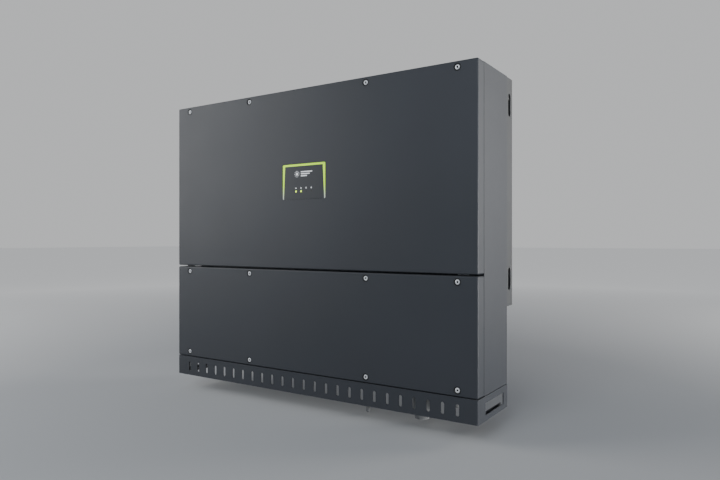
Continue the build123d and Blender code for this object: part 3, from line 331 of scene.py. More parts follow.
metals = {
    "zincSheet": dict(
        colour=rgb(0.50, 0.51, 0.52), rough=(0.28, 0.48), stretch=(1, 1, 1), scale=160.0, bump=0.05,
        wearAndHighlightAmount=0.3
    ),
    "stainless": dict(
        colour=rgb(0.66, 0.66, 0.65), rough=(0.16, 0.32), stretch=(1, 1, 1), scale=700.0, bump=0.04,
        wearAndHighlightAmount=0.2
    ),
    "sinkAluminium": dict(
        colour=rgb(0.62, 0.63, 0.64), rough=(0.26, 0.44), stretch=(1, 1, 0.015), scale=700.0, bump=0.10,
        wearAndHighlightAmount=0.3
    ),
    "bareBrass": dict(
        colour=rgb(0.60, 0.42, 0.16), rough=(0.22, 0.42), stretch=(0.03, 1, 1), scale=500.0, bump=0.06,
        wearAndHighlightAmount=0.3
    ),
    # Zinc-flake coat, near white and partly diffuse: partly the coat's own colour, partly a painted
    # reflection that keeps screws, fixings and wire guards as bright as mirrored surroundings would.
    "zincCoatPaintedSheen": dict(
        colour=rgb(0.90, 0.91, 0.92), rough=(0.26, 0.38), stretch=(1, 1, 1), scale=600.0, bump=0.03,
        wearAndHighlightAmount=0.1, metal=0.3
    ),
    "tinnedPin": dict(
        colour=rgb(0.60, 0.61, 0.62), rough=(0.18, 0.30), stretch=(1, 1, 0.05), scale=900.0, bump=0.03,
        wearAndHighlightAmount=0.1
    ),
}


def metalMaterial(name, colour, rough, stretch, scale, bump, wearAndHighlightAmount, metal=1.0):
    material, tree, shader, coordinates = startMaterial(name, metallic=metal)
    drawn = placeGroup(tree, "drawn", {"Coordinates": coordinates, "Stretch": stretch, "Scale": scale})
    wornAndHighlit = placeGroup(tree, "wearAndHighlight", {"Coordinates": coordinates, "Amount": wearAndHighlightAmount})
    tones = blendColours(tree, drawn["Gloss"], shaded(colour, 0.88), colour)
    # Edges turn a fifth brighter: partly wear, partly a painted highlight along them.
    bright = blendColours(tree, wornAndHighlit["Mask"], tones, shaded(colour, 1.2))
    tree.links.new(bright, shader.inputs["Base Color"])
    tree.links.new(spread(tree, drawn["Gloss"], 0, 1, rough[0], rough[1]), shader.inputs["Roughness"])
    addBump(tree, shader, drawn["Height"], bump, 0.0001)
    return material


# Laminate under solder mask, with faint copper tracks and silver pads.
def boardMaterial():
    material, tree, shader, coordinates = startMaterial("boardLaminate", roughness=0.35)
    cells = addNode(
        tree, "ShaderNodeTexVoronoi", {"Vector": coordinates, "Scale": 170.0}, distance="CHEBYCHEV"
    ).outputs
    tracks = spread(tree, noise(tree, coordinates, 55.0, 0.0), 0.49, 0.51)
    pads = spread(tree, cells["Distance"], 0.14, 0.10)
    mask = blendColours(tree, tracks, rgb(0.010, 0.075, 0.035), rgb(0.018, 0.120, 0.055))
    tree.links.new(blendColours(tree, pads, mask, rgb(0.42, 0.42, 0.40)), shader.inputs["Base Color"])
    tree.links.new(spread(tree, pads, 0, 1, 0.34, 0.22), shader.inputs["Roughness"])
    tree.links.new(pads, shader.inputs["Metallic"])
    addBump(tree, shader, calc(tree, "ADD", tracks, pads), 0.2, 0.0001)
    return material


# The light guide round the status panel: green above, fading to grey towards its feet.
lightGuide = {
    "green": rgb(0.52, 0.86, 0.012), "foot": rgb(0.46, 0.48, 0.46), "fadeFrom": 0.40, "fadeTo": 0.05,
    "glow": 0.85
}


def guideMaterial():
    low, high, _ = boxOf("light_frame")
    material, tree, shader, coordinates = startMaterial("lightGuide", roughness=0.3)
    height = addNode(tree, "ShaderNodeSeparateXYZ", {0: coordinates}).outputs["Z"]
    rise = spread(tree, height, low.z, high.z)
    green = spread(tree, rise, lightGuide["fadeTo"], lightGuide["fadeFrom"])
    grained = placeGroup(tree, "grain", {"Coordinates": coordinates, "Grain": 700.0})
    mixed = blendColours(tree, green, lightGuide["foot"], lightGuide["green"])
    toned = blendColours(tree, calc(tree, "MULTIPLY", grained["Tone"], 0.12), mixed, rgb(0.30, 0.55, 0.05))
    tree.links.new(toned, shader.inputs["Base Color"])
    tree.links.new(toned, shader.inputs["Emission Color"])
    tree.links.new(spread(tree, grained["Gloss"], 0, 1, 0.26, 0.36), shader.inputs["Roughness"])
    shader.inputs["Emission Strength"].default_value = lightGuide["glow"]
    return material


# Status lights: the left pair is lit, the right pair is dark.
lampSet = {"lit": rgb(0.70, 1.0, 0.05), "dark": rgb(0.004, 0.004, 0.004), "glow": 2.2}


def lampMaterial():
    material, tree, shader, coordinates = startMaterial("lampLens", roughness=0.2)
    across = addNode(tree, "ShaderNodeSeparateXYZ", {0: coordinates}).outputs["X"]
    lit = calc(tree, "LESS_THAN", across, 0.0)
    glow = blendColours(tree, lit, lampSet["dark"], lampSet["lit"])
    body = blendColours(tree, lit, rgb(0.05, 0.055, 0.05), rgb(0.50, 0.80, 0.05))
    clouds = noise(tree, coordinates, 900.0, 2.0)
    tree.links.new(body, shader.inputs["Base Color"])
    tree.links.new(glow, shader.inputs["Emission Color"])
    tree.links.new(spread(tree, clouds, 0, 1, 0.12, 0.28), shader.inputs["Roughness"])
    shader.inputs["Emission Strength"].default_value = lampSet["glow"]
    return material


# White print: patchy white ink that also glows faintly; the glow is painted light, since the print is no
# lamp.
printAndPaintedGlow = {"dull": rgb(0.80, 0.81, 0.82), "clear": rgb(0.92, 0.93, 0.94), "glow": 0.35}


def printWithPaintedGlowMaterial():
    material, tree, shader, coordinates = startMaterial("whitePrint", roughness=0.5)
    patchy = noise(tree, coordinates, 600.0, 3.0)
    inked = blendColours(tree, patchy, printAndPaintedGlow["dull"], printAndPaintedGlow["clear"])
    tree.links.new(inked, shader.inputs["Base Color"])
    tree.links.new(inked, shader.inputs["Emission Color"])
    shader.inputs["Emission Strength"].default_value = printAndPaintedGlow["glow"]
    tree.links.new(spread(tree, patchy, 0, 1, 0.4, 0.6), shader.inputs["Roughness"])
    return material


def floorMaterial():
    material, tree, shader, coordinates = startMaterial("floorPaint", roughness=0.8)
    clouds = noise(tree, coordinates, 0.8, 3.0)
    colour = stageSet["floorColour"]
    tree.links.new(blendColours(tree, clouds, shaded(colour, 0.97), colour), shader.inputs["Base Color"])
    away = addNode(tree, "ShaderNodeVectorMath", {0: coordinates}, operation="LENGTH").outputs["Value"]
    far = spread(tree, away, stageSet["glowFrom"], stageSet["glowTo"])
    seen = addNode(tree, "ShaderNodeLightPath").outputs["Is Camera Ray"]
    glow = calc(tree, "MULTIPLY", calc(tree, "MULTIPLY", far, seen), stageSet["floorGlow"])
    tree.links.new(glow, shader.inputs["Emission Strength"])
    shader.inputs["Emission Color"].default_value = colour
    return material


finishes = {name: paintMaterial(name, **values) for name, values in paints.items()}
finishes.update({name: metalMaterial(name, **values) for name, values in metals.items()})
finishes.update(
    board=boardMaterial(), lightGuide=guideMaterial(), lamp=lampMaterial(), whitePrint=printWithPaintedGlowMaterial()
)
print("stage: materials made,", len(finishes))

floorMesh = bpy.data.meshes.new("floor")
half = stageSet["floorSize"] / 2
floorCorners = [(-half, -half, 0), (half, -half, 0), (half, half, 0), (-half, half, 0)]
floorMesh.from_pydata(floorCorners, [], [(0, 1, 2, 3)])
floor = bpy.data.objects.new("floor", floorMesh)
floor.location.z = cadBox[0][2] - stageSet["floorDrop"]
floor.data.materials.append(floorMaterial())
scene.collection.objects.link(floor)
floorOnly.objects.link(floor)
floorOnly.collection_objects[0].light_linking.link_state = "EXCLUDE"

# The sky lights the case softly, and the camera sees it paler than it lights.
world = bpy.data.worlds.new("softSky")
world.use_nodes = True
sky = world.node_tree
soft = sky.nodes["Background"]
soft.inputs["Color"].default_value = stageSet["softSky"]
soft.inputs["Strength"].default_value = stageSet["softStrength"]
seenKeys = {"Color": stageSet["seenSky"], "Strength": stageSet["seenStrength"]}
seenSky = addNode(sky, "ShaderNodeBackground", seenKeys).outputs[0]
cameraRay = addNode(sky, "ShaderNodeLightPath").outputs["Is Camera Ray"]
mixedSky = addNode(sky, "ShaderNodeMixShader", {0: cameraRay, 1: soft.outputs[0], 2: seenSky}).outputs[0]
sky.links.new(mixedSky, sky.nodes["World Output"].inputs["Surface"])
scene.world = world

# The CAD nodes that keep their own shape, and the finish each one takes.
nodeFinish = {
    "casePaint": (
        "side_panel_left side_panel_right roof_panel rear_wall_upper fan_shelf rear_wall_lower front_frame "
        "upper_lid lower_lid skirt gland_plate fan_plate"
    ),
    "bracketPaint": "hanger_rail bracket_rail_left bracket_rail_right bracket_hook_rail bracket_lower_rail",
    "zincSheet": "partition_plate din_rail bonding_tabs",
    "stainless": "lid_bosses upper_lid_screws lower_lid_screws skirt_screws ground_stud fan_guards",
    "foamRubber": "upper_lid_seals lower_lid_seals",
    "smokedInsert": "status_plate",
    "lightGuide": "light_frame",
    "lamp": "status_lights",
    "board": "status_board communication_board power_board control_board",
    "greyNylon": (
        "ac_gland_body ac_gland_nut data_glands data_gland_nuts antenna dc_switch_bodies "
        "surge_arresters ac_terminal_block"
    ),
    "blackNylon": (
        "vent_plug dc_sockets dc_switch_knob_1 dc_switch_knob_2 grid_relays fan_housings "
        "fan_rotor_left fan_rotor_middle fan_rotor_right"
    ),
    "whiteHousing": "dc_fuse_holders",
    "leadSleeve": "dc_leads ac_leads",
    "bareBrass": "ground_bar",
    "epoxyCase": "power_modules",
    "capacitorCase": "link_capacitors",
    "chokeCan": "power_chokes",
    "sinkAluminium": "heat_sink",
}
for finish, names in nodeFinish.items():
    for name in names.split():
        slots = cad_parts[name].data.materials
        slots.clear()
        slots.append(finishes[finish])
print("stage: CAD nodes finished")


def addPiece(name, mesh):
    piece = bpy.data.objects.new(name, mesh)
    scene.collection.objects.link(piece)
    return piece


def settle(piece, body, finish=None, replaced=()):
    if finish:
        piece.data.materials.clear()
        piece.data.materials.append(finishes[finish])
    piece.data.shade_smooth()
    piece.data.set_sharp_from_angle(angle=math.radians(32))
    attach(piece, body)
    if replaced:
        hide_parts(*replaced)


weldGap = 0.001 * mm


def toMesh(name, form):
    bmesh.ops.remove_doubles(form, verts=form.verts, dist=weldGap)
    bmesh.ops.recalc_face_normals(form, faces=form.faces)
    mesh = bpy.data.meshes.new(name)
    form.to_mesh(mesh)
    form.free()
    return mesh


facing = {
    "up": Matrix.Identity(3), "down": Matrix.Rotation(math.pi, 3, "X"),
    "front": Matrix.Rotation(math.pi / 2, 3, "X"), "back": Matrix.Rotation(-math.pi / 2, 3, "X"),
}


# A turned shape: each step of the profile is (radius, height, sides), where 0 sides means round.
def turned(form, profile, place=(0, 0, 0), way="up", around=36, ribs=0, ribDepth=0.0):
    rings = []
    for radius, height, sides in profile:
        if radius == 0:
            rings.append([form.verts.new(Vector(place) + facing[way] @ Vector((0, 0, height)))])
            continue
        ring = []
        for step in range(around):
            angle = 2 * math.pi * step / around
            reach = radius
            if sides > 0:
                share = math.pi / sides
                reach = radius * math.cos(share) / math.cos(angle % (2 * math.pi / sides) - share)
            if sides < 0:
                reach = radius - ribDepth * (0.5 + 0.5 * math.cos(ribs * angle)) ** 3
            spot = facing[way] @ Vector((reach * math.cos(angle), reach * math.sin(angle), height))
            ring.append(form.verts.new(Vector(place) + spot))
        rings.append(ring)
    for first, second in zip(rings, rings[1:]):
        for step in range(around):
            after = (step + 1) % around
            if len(first) == 1:
                form.faces.new((first[0], second[step], second[after]))
            elif len(second) == 1:
                form.faces.new((first[step], second[0], first[after]))
            else:
                form.faces.new((first[step], second[step], second[after], first[after]))


def block(form, low, high, bevel=0.0):
    spans = list(zip(low, high))
    corners = [form.verts.new((x, y, z)) for z in spans[2] for y in spans[1] for x in spans[0]]
    sides = [(0, 1, 3, 2), (4, 6, 7, 5), (0, 4, 5, 1), (2, 3, 7, 6), (0, 2, 6, 4), (1, 5, 7, 3)]
    faces = [form.faces.new([corners[i] for i in side]) for side in sides]
    if bevel:
        edges = {edge for face in faces for edge in face.edges}
        bmesh.ops.bevel(form, geom=list(edges), offset=bevel, segments=2, profile=0.6, affect="EDGES")


# A node tree's inputs are set by identifier before its first run, and its result becomes a plain mesh.
def runNodes(name, tree, base, values):
    holder = addPiece(name, base)
    modifier = holder.modifiers.new("maker", "NODES")
    modifier.node_group = tree
    for item in tree.interface.items_tree:
        if item.in_out == "INPUT" and item.name in values:
            modifier[item.identifier] = values[item.name]
    made = holder.evaluated_get(bpy.context.evaluated_depsgraph_get())
    result = bpy.data.meshes.new_from_object(made)
    holder.modifiers.remove(modifier)
    holder.data = result
    return holder


def pointMesh(name, points):
    mesh = bpy.data.meshes.new(name)
    mesh.from_pydata([tuple(point) for point in points], [], [])
    return mesh


def closeTree(tree, geometry, finish, put):
    realized = addNode(tree, "GeometryNodeRealizeInstances", {"Geometry": geometry}).outputs[0]
    painted = addNode(tree, "GeometryNodeSetMaterial", {"Geometry": realized, "Material": finish})
    tree.links.new(painted.outputs[0], put["Geometry"])


# One pattern piece set at each point, turned by chance about its own axis.
def repeatTree():
    tree, given, put = newTree("repeatPiece", "GeometryNodeTree", [
        ("Geometry", "NodeSocketGeometry", None), ("Pattern", "NodeSocketObject", None),
        ("Size", "NodeSocketFloat", 1.0), ("Axis", "NodeSocketVector", (0.0, 1.0, 0.0)),
        ("Turn", "NodeSocketFloat", 3.1416), ("Seed", "NodeSocketInt", 7),
        ("Finish", "NodeSocketMaterial", None),
    ], [("Geometry", "NodeSocketGeometry")])
    pattern = addNode(tree, "GeometryNodeObjectInfo", {"Object": given["Pattern"]}).outputs["Geometry"]
    chance = addNode(tree, "FunctionNodeRandomValue", {"Seed": given["Seed"]}, data_type="FLOAT")
    angle = calc(tree, "MULTIPLY", chance.outputs[1], given["Turn"])
    turn = addNode(tree, "ShaderNodeVectorMath", {0: given["Axis"]}, operation="SCALE")
    tree.links.new(angle, turn.inputs["Scale"])
    placed = addNode(tree, "GeometryNodeInstanceOnPoints", {
        "Points": given["Geometry"], "Instance": pattern, "Rotation": turn.outputs[0],
        "Scale": given["Size"],
    }).outputs[0]
    closeTree(tree, placed, given["Finish"], put)
    return tree


# Rings and crossed spokes of round wire, with an eye at each spoke's end, set at each point.
def guardTree():
    tree, given, put = newTree("wireGuard", "GeometryNodeTree", [
        ("Geometry", "NodeSocketGeometry", None), ("Rings", "NodeSocketInt", 4),
        ("Outer Radius", "NodeSocketFloat", 0.05), ("Ring Step", "NodeSocketFloat", 0.01),
        ("Spoke Reach", "NodeSocketFloat", 0.07), ("Eye Radius", "NodeSocketFloat", 0.003),
        ("Wire Radius", "NodeSocketFloat", 0.001), ("Finish", "NodeSocketMaterial", None),
    ], [("Geometry", "NodeSocketGeometry")])
    index = addNode(tree, "GeometryNodeInputIndex").outputs[0]
    circle = addNode(tree, "GeometryNodeCurvePrimitiveCircle", {"Resolution": 56, "Radius": 1.0}).outputs[0]
    line = addNode(tree, "GeometryNodeMeshLine", {"Count": given["Rings"], "Offset": (0, 0, 0)}).outputs[0]
    size = calc(tree, "SUBTRACT", given["Outer Radius"], calc(tree, "MULTIPLY", index, given["Ring Step"]))
    rings = addNode(
        tree, "GeometryNodeInstanceOnPoints", {"Points": line, "Instance": circle, "Scale": size}
    ).outputs[0]
    reach = addNode(tree, "ShaderNodeCombineXYZ", {"X": given["Spoke Reach"]}).outputs[0]
    spoke = addNode(tree, "GeometryNodeCurvePrimitiveLine", {"End": reach}).outputs[0]
    four = addNode(tree, "GeometryNodeMeshLine", {"Count": 4, "Offset": (0, 0, 0)}).outputs[0]
    quarter = calc(tree, "ADD", calc(tree, "MULTIPLY", index, math.pi / 2), math.pi / 4)
    quarterTurn = addNode(tree, "ShaderNodeCombineXYZ", {"Z": quarter}).outputs[0]
    spokes = addNode(
        tree, "GeometryNodeInstanceOnPoints", {"Points": four, "Instance": spoke, "Rotation": quarterTurn}
    ).outputs[0]
    corners = addNode(
        tree, "GeometryNodeMeshCircle",
        {"Vertices": 4, "Radius": calc(tree, "ADD", given["Spoke Reach"], given["Eye Radius"])}
    )
    cornersTurned = addNode(
        tree, "GeometryNodeTransform", {"Geometry": corners.outputs[0], "Rotation": (0, 0, math.pi / 4)}
    ).outputs[0]
    eye = addNode(
        tree, "GeometryNodeCurvePrimitiveCircle", {"Resolution": 20, "Radius": given["Eye Radius"]}
    ).outputs[0]
    eyes = addNode(
        tree, "GeometryNodeInstanceOnPoints", {"Points": cornersTurned, "Instance": eye}
    ).outputs[0]
    join = addNode(tree, "GeometryNodeJoinGeometry")
    for part in (rings, spokes, eyes):
        tree.links.new(part, join.inputs[0])
    curves = addNode(tree, "GeometryNodeRealizeInstances", {"Geometry": join.outputs[0]}).outputs[0]
    section = addNode(
        tree, "GeometryNodeCurvePrimitiveCircle", {"Resolution": 8, "Radius": given["Wire Radius"]}
    ).outputs[0]
    wires = addNode(
        tree, "GeometryNodeCurveToMesh", {"Curve": curves, "Profile Curve": section, "Fill Caps": True}
    ).outputs[0]
    upright = addNode(
        tree, "GeometryNodeTransform", {"Geometry": wires, "Rotation": (math.pi / 2, 0, 0)}
    ).outputs[0]
    placed = addNode(
        tree, "GeometryNodeInstanceOnPoints", {"Points": given["Geometry"], "Instance": upright}
    ).outputs[0]
    closeTree(tree, placed, given["Finish"], put)
    return tree


# Small components scattered over a board, each a plain block of its own size.
def boardTree():
    tree, given, put = newTree("boardParts", "GeometryNodeTree", [
        ("Geometry", "NodeSocketGeometry", None), ("Density", "NodeSocketFloat", 3000.0),
        ("Spacing", "NodeSocketFloat", 0.008),
        ("Smallest", "NodeSocketVector", (0.002, 0.001, 0.001)),
        ("Largest", "NodeSocketVector", (0.006, 0.003, 0.004)),
        ("Seed", "NodeSocketInt", 3), ("Finish", "NodeSocketMaterial", None),
    ], [("Geometry", "NodeSocketGeometry")])
    scatter = addNode(tree, "GeometryNodeDistributePointsOnFaces", {
        "Mesh": given["Geometry"], "Distance Min": given["Spacing"], "Density Max": given["Density"],
        "Seed": given["Seed"],
    }, distribute_method="POISSON").outputs["Points"]
    cube = addNode(tree, "GeometryNodeMeshCube", {"Size": (1, 1, 1)}).outputs[0]
    size = addNode(
        tree, "FunctionNodeRandomValue", {0: given["Smallest"], 1: given["Largest"], "Seed": given["Seed"]},
        data_type="FLOAT_VECTOR"
    )
    placed = addNode(
        tree, "GeometryNodeInstanceOnPoints",
        {"Points": scatter, "Instance": cube, "Scale": size.outputs[0]}
    ).outputs[0]
    closeTree(tree, placed, given["Finish"], put)
    return tree


trees = {"repeat": repeatTree(), "guard": guardTree(), "board": boardTree()}


def repeated(name, form, points, finish, axis=(0, 1, 0), turn=math.pi, seed=7):
    pattern = addPiece(name + "Pattern", toMesh(name + "Pattern", form))
    piece = runNodes(name, trees["repeat"], pointMesh(name, points), {
        "Pattern": pattern, "Axis": axis, "Turn": turn, "Seed": seed, "Finish": finishes[finish],
    })
    bpy.data.objects.remove(pattern)
    return piece


# Lid screws: pan heads with a six-sided socket, sunk in the lids' drawn cups.
lidScrew = {
    "head": 5.4 * mm, "headHeight": 3.5 * mm, "shank": 3 * mm, "length": 22 * mm, "socket": 2.7 * mm,
    "cup": 7.9 * mm, "washerGap": 0.15 * mm, "washerLip": 0.3 * mm, "innerX": 170 * mm,
    "upperSeed": 4, "lowerSeed": 9,
}


def lidScrewForm():
    form = bmesh.new()
    head, tall = lidScrew["head"], lidScrew["headHeight"]
    shank, socket, end = lidScrew["shank"], lidScrew["socket"], -lidScrew["length"]
    turned(form, [
        (0, end, 0), (shank * 0.8, end, 0), (shank, 0.8 * mm + end, 0), (shank, 0, 0),
        (head, 0, 0), (head, tall * 0.45, 0), (head * 0.96, tall * 0.70, 0), (head * 0.84, tall * 0.90, 0),
        (head * 0.68, tall, 0), (socket * 1.22, tall, 0), (socket, tall * 0.93, 6),
        (socket * 0.98, tall * 0.30, 6), (0, tall * 0.18, 0),
    ], way="front", around=48)
    return form


# The captive washer under each head: its black collar lines the cup and also darkens the cup walls as painted
# shade, and a black six-sided disc on the floor of the socket is painted shade.
def washerAndShadeForm():
    form = bmesh.new()
    tall, cup, lip = lidScrew["headHeight"], lidScrew["cup"], lidScrew["washerLip"]
    inner = lidScrew["head"] + lidScrew["washerGap"]
    turned(form, [
        (inner, 0, 0), (cup, 0, 0), (cup, tall - lip, 0), (cup - lip, tall, 0),
        (inner + lip, tall, 0), (inner, tall - lip, 0), (inner, 0, 0),
    ], way="front", around=48)
    # A black disc on the socket's floor: painted shade.
    floorShade = [(0, tall * 0.2, 0), (lidScrew["socket"] * 0.97, tall * 0.32, 6), (0, tall * 0.60, 0)]
    turned(form, floorShade, way="front", around=12)
    return form


def lidScrews(node, rows, body, seed):
    low, high, _ = boxOf(node)
    outer = high.x - lidScrew["head"]
    columns = (-outer, -lidScrew["innerX"], lidScrew["innerX"], outer)
    points = [(x, low.y + lidScrew["headHeight"], z) for z in rows for x in columns]
    piece = repeated(node.replace("lid_", "lid_pan_"), lidScrewForm(), points, "zincCoatPaintedSheen", seed=seed)
    settle(piece, body, replaced=[node])
    washerAndShadeName = node.replace("screws", "captive_washers")
    # Black washers with their socket discs: partly real washers, partly painted shade.
    washersAndShade = repeated(washerAndShadeName, washerAndShadeForm(), points, "foamRubber", turn=0.0, seed=seed)
    settle(washersAndShade, body)


upperScrewZ = boxOf("upper_lid_screws")[2].z
lowScrew, highScrew, _ = boxOf("lower_lid_screws")
lowerScrewRows = [lowScrew.z + lidScrew["head"], highScrew.z - lidScrew["head"]]
lidScrews("upper_lid_screws", [upperScrewZ], "upper_lid", lidScrew["upperSeed"])
lidScrews("lower_lid_screws", lowerScrewRows, "lower_lid", lidScrew["lowerSeed"])
print("stage: lid screws")

# Status panel print: a generic sun with three bars, and four plain symbols above the lights.
panelPrint = {
    "proud": 0.05 * mm, "sunAcross": -19.5 * mm, "sunDrop": 23 * mm, "sunRadius": 3.6 * mm,
    "rays": 10, "rayReach": 6.6 * mm, "rayRadius": 0.9 * mm,
    "barsAcross": -8 * mm, "barLengths": (33 * mm, 26 * mm, 18 * mm), "barTall": 2.6 * mm,
    "barStep": 4.7 * mm,
    "symbolDrop": 56 * mm, "symbolPitch": 15 * mm, "symbolHalf": 1.9 * mm,
}


def printedDot(form, centre, radius, around, inner=0):
    proud = panelPrint["proud"]
    profile = [(inner, -proud, 0), (radius, -proud, 0), (radius, proud, 0), (inner, proud, 0)]
    if inner:
        profile.append((inner, -proud, 0))
    turned(form, profile, centre, "front", around)


def statusPrint():
    _, high, middle = boxOf("light_frame")
    face = boxOf("status_plate")[0].y
    near, far = face - panelPrint["proud"], face + panelPrint["proud"]
    form = bmesh.new()
    sun = Vector((middle.x + panelPrint["sunAcross"], face, high.z - panelPrint["sunDrop"]))
    printedDot(form, sun, panelPrint["sunRadius"], 28)
    for ray in range(panelPrint["rays"]):
        angle = 2 * math.pi * ray / panelPrint["rays"]
        spot = sun + Vector((math.cos(angle), 0, math.sin(angle))) * panelPrint["rayReach"]
        printedDot(form, spot, panelPrint["rayRadius"], 12)
    for row, length in enumerate(panelPrint["barLengths"]):
        left = middle.x + panelPrint["barsAcross"]
        base = sun.z + (1 - row) * panelPrint["barStep"] - panelPrint["barTall"] / 2
        block(form, (left, near, base), (left + length, far, base + panelPrint["barTall"]))
    half, level = panelPrint["symbolHalf"], high.z - panelPrint["symbolDrop"]

    def bar(fromX, toX, fromZ, toZ):
        block(form, (across + fromX * half, near, level + fromZ * half),
              (across + toX * half, far, level + toZ * half))

    for place in range(4):
        across = middle.x + (place - 1.5) * panelPrint["symbolPitch"]
        if place == 0:
            bar(-1, 1, -0.5, 0.5)
            bar(-0.4, 0.4, 0.5, 1)
        elif place == 1:
            for step in (-0.75, 0, 0.75):
                bar(step - 0.22, step + 0.22, -1, 1)
        else:
            inner = half * (0.55 if place == 2 else 0.3)
            printedDot(form, (across, face, level), half, 24, inner)
    piece = addPiece("status_print", toMesh("status_print", form))
    settle(piece, "upper_lid", "whitePrint")


statusPrint()
print("stage: status panel print")

# Fans: a hub with swept, twisted blades, behind a round-wire guard.
fan = {
    "blades": 7, "hub": 20.6 * mm, "tip": 54.4 * mm, "sheet": 1.7 * mm,
    "rootPitch": 48, "tipPitch": 27, "sweep": 34, "chordRoot": 20 * mm, "chordTip": 33 * mm,
    "camber": 0.22, "depthShare": 0.46, "steps": 10, "across": 8,
}


def fanBlade(form, centre, depth, start):
    grid = []
    for step in range(fan["steps"] + 1):
        along = step / fan["steps"]
        radius = fan["hub"] * 0.96 + (fan["tip"] - fan["hub"] * 0.96) * along
        pitch = math.radians(fan["rootPitch"] + (fan["tipPitch"] - fan["rootPitch"]) * along)
        chord = fan["chordRoot"] + (fan["chordTip"] - fan["chordRoot"]) * along
        lean = start + math.radians(fan["sweep"]) * along ** 1.6
        row = []
        for cut in range(fan["across"] + 1):
            share = cut / fan["across"] - 0.5
            camber = (0.25 - share * share) * chord * fan["camber"]
            flat = chord * share * math.cos(pitch)
            deep = chord * share * math.sin(pitch) + camber
            deep = max(-depth * fan["depthShare"], min(depth * fan["depthShare"], deep))
            thick = fan["sheet"] * (1 - 0.5 * abs(share) * 2) * 0.5
            angle = lean + flat / radius
            x, z = radius * math.cos(angle), radius * math.sin(angle)
            row.append([Vector((x, y, z)) + centre for y in (deep - thick, deep + thick)])
        grid.append(row)
    verts = [[[form.verts.new(point) for point in pair] for pair in row] for row in grid]
    rows, cuts = fan["steps"], fan["across"]
    for i in range(rows):
        for j in range(cuts):
            corners = verts[i][j], verts[i + 1][j], verts[i + 1][j + 1], verts[i][j + 1]
            for side in (0, 1):
                form.faces.new([corner[side] for corner in corners])
        for j in (0, cuts):
            form.faces.new((verts[i][j][0], verts[i + 1][j][0], verts[i + 1][j][1], verts[i][j][1]))
    for i in (0, rows):
        for j in range(cuts):
            form.faces.new((verts[i][j][0], verts[i][j + 1][0], verts[i][j + 1][1], verts[i][j][1]))


def fanRotor(side):
    low, high, middle = boxOf("fan_rotor_" + side)
    depth = high.y - low.y
    form = bmesh.new()
    hub = fan["hub"]
    turned(form, [
        (0, -depth / 2, 0), (hub - 1.2 * mm, -depth / 2, 0), (hub, 1.2 * mm - depth / 2, 0),
        (hub, depth / 2 - 0.6 * mm, 0), (hub - 0.6 * mm, depth / 2, 0), (hub - 5 * mm, depth / 2, 0),
        (hub - 6 * mm, depth / 2 - 1.2 * mm, 0), (0, depth / 2 - 1.2 * mm, 0),
    ], middle, "back", 48)
    for blade in range(fan["blades"]):
        fanBlade(form, middle, depth, 2 * math.pi * blade / fan["blades"])
    piece = addPiece("fan_blades_" + side, toMesh("fan_blades_" + side, form))
    settle(piece, "fan_" + side, "blackNylon", [f"fan_rotor_{side}"])


for side in ("left", "middle", "right"):
    fanRotor(side)

guard = {
    "rings": 6, "outer": 57.2 * mm, "step": 8.4 * mm, "reach": 71 * mm, "eye": 3.2 * mm, "wire": 1.05 * mm,
}
_, guardHigh, guardMiddle = boxOf("fan_guards")
fanCentres = [boxOf("fan_rotor_" + side)[2] for side in ("left", "middle", "right")]
guardPoints = [(centre.x, guardMiddle.y, centre.z) for centre in fanCentres]
wires = runNodes("fan_wire_guards", trees["guard"], pointMesh("guardPoints", guardPoints), {
    "Rings": guard["rings"], "Outer Radius": guard["outer"], "Ring Step": guard["step"],
    "Spoke Reach": guard["reach"], "Eye Radius": guard["eye"], "Wire Radius": guard["wire"],
    "Finish": finishes["zincCoatPaintedSheen"],
})
settle(wires, "case", replaced=["fan_guards"])
print("stage: fans")

# Pan-head fixings at the rear: four to each fan, and a row round the fan plate.
fixing = {
    "head": 3.6 * mm, "tall": 2.0 * mm, "cross": 1.1 * mm, "fanHalf": 52.5 * mm, "plateEdge": 9 * mm,
    "plateInset": 3.8 * mm, "plateCount": 7, "seed": 12,
}


def fixingForm():
    form = bmesh.new()
    head, tall, cross = fixing["head"], fixing["tall"], fixing["cross"]
    turned(form, [
        (0, -1.5 * mm, 0), (head * 0.5, -1.5 * mm, 0), (head * 0.5, 0, 0), (head, 0, 0),
        (head, tall * 0.3, 0), (head * 0.9, tall * 0.7, 0), (head * 0.6, tall, 0),
        (cross * 1.4, tall, 0), (cross, tall * 0.95, 4),
        (cross * 0.6, tall * 0.3, 4), (0, tall * 0.2, 0),
    ], way="back", around=24)
    return form


plateLow, plateHigh, _ = boxOf("fan_plate")
fanHalf = fixing["fanHalf"]
fanFixings = [
    (centre.x + dx, guardHigh.y, centre.z + dz)
    for centre in fanCentres for dx in (-fanHalf, fanHalf) for dz in (-fanHalf, fanHalf)
]
edgeStep = (plateHigh.x - plateLow.x - 2 * fixing["plateEdge"]) / (fixing["plateCount"] - 1)
edgeX = [plateLow.x + fixing["plateEdge"] + i * edgeStep for i in range(fixing["plateCount"])]
edgeZ = (plateLow.z + fixing["plateInset"], plateHigh.z - fixing["plateInset"])
fixingPoints = fanFixings + [(x, plateHigh.y, z) for x in edgeX for z in edgeZ]
rearFixings = repeated("rear_fixings", fixingForm(), fixingPoints, "zincCoatPaintedSheen", seed=fixing["seed"])
settle(rearFixings, "case")
print("stage: rear fixings")

# Heat sink: beaded fins on a thick base plate.
sink = {
    "count": 50, "pitch": 15 * mm, "root": 2.9 * mm, "tip": 1.9 * mm, "base": 10 * mm,
    "beads": 9, "beadDepth": 0.28 * mm, "sunk": 1 * mm, "bevel": 0.6 * mm,
}


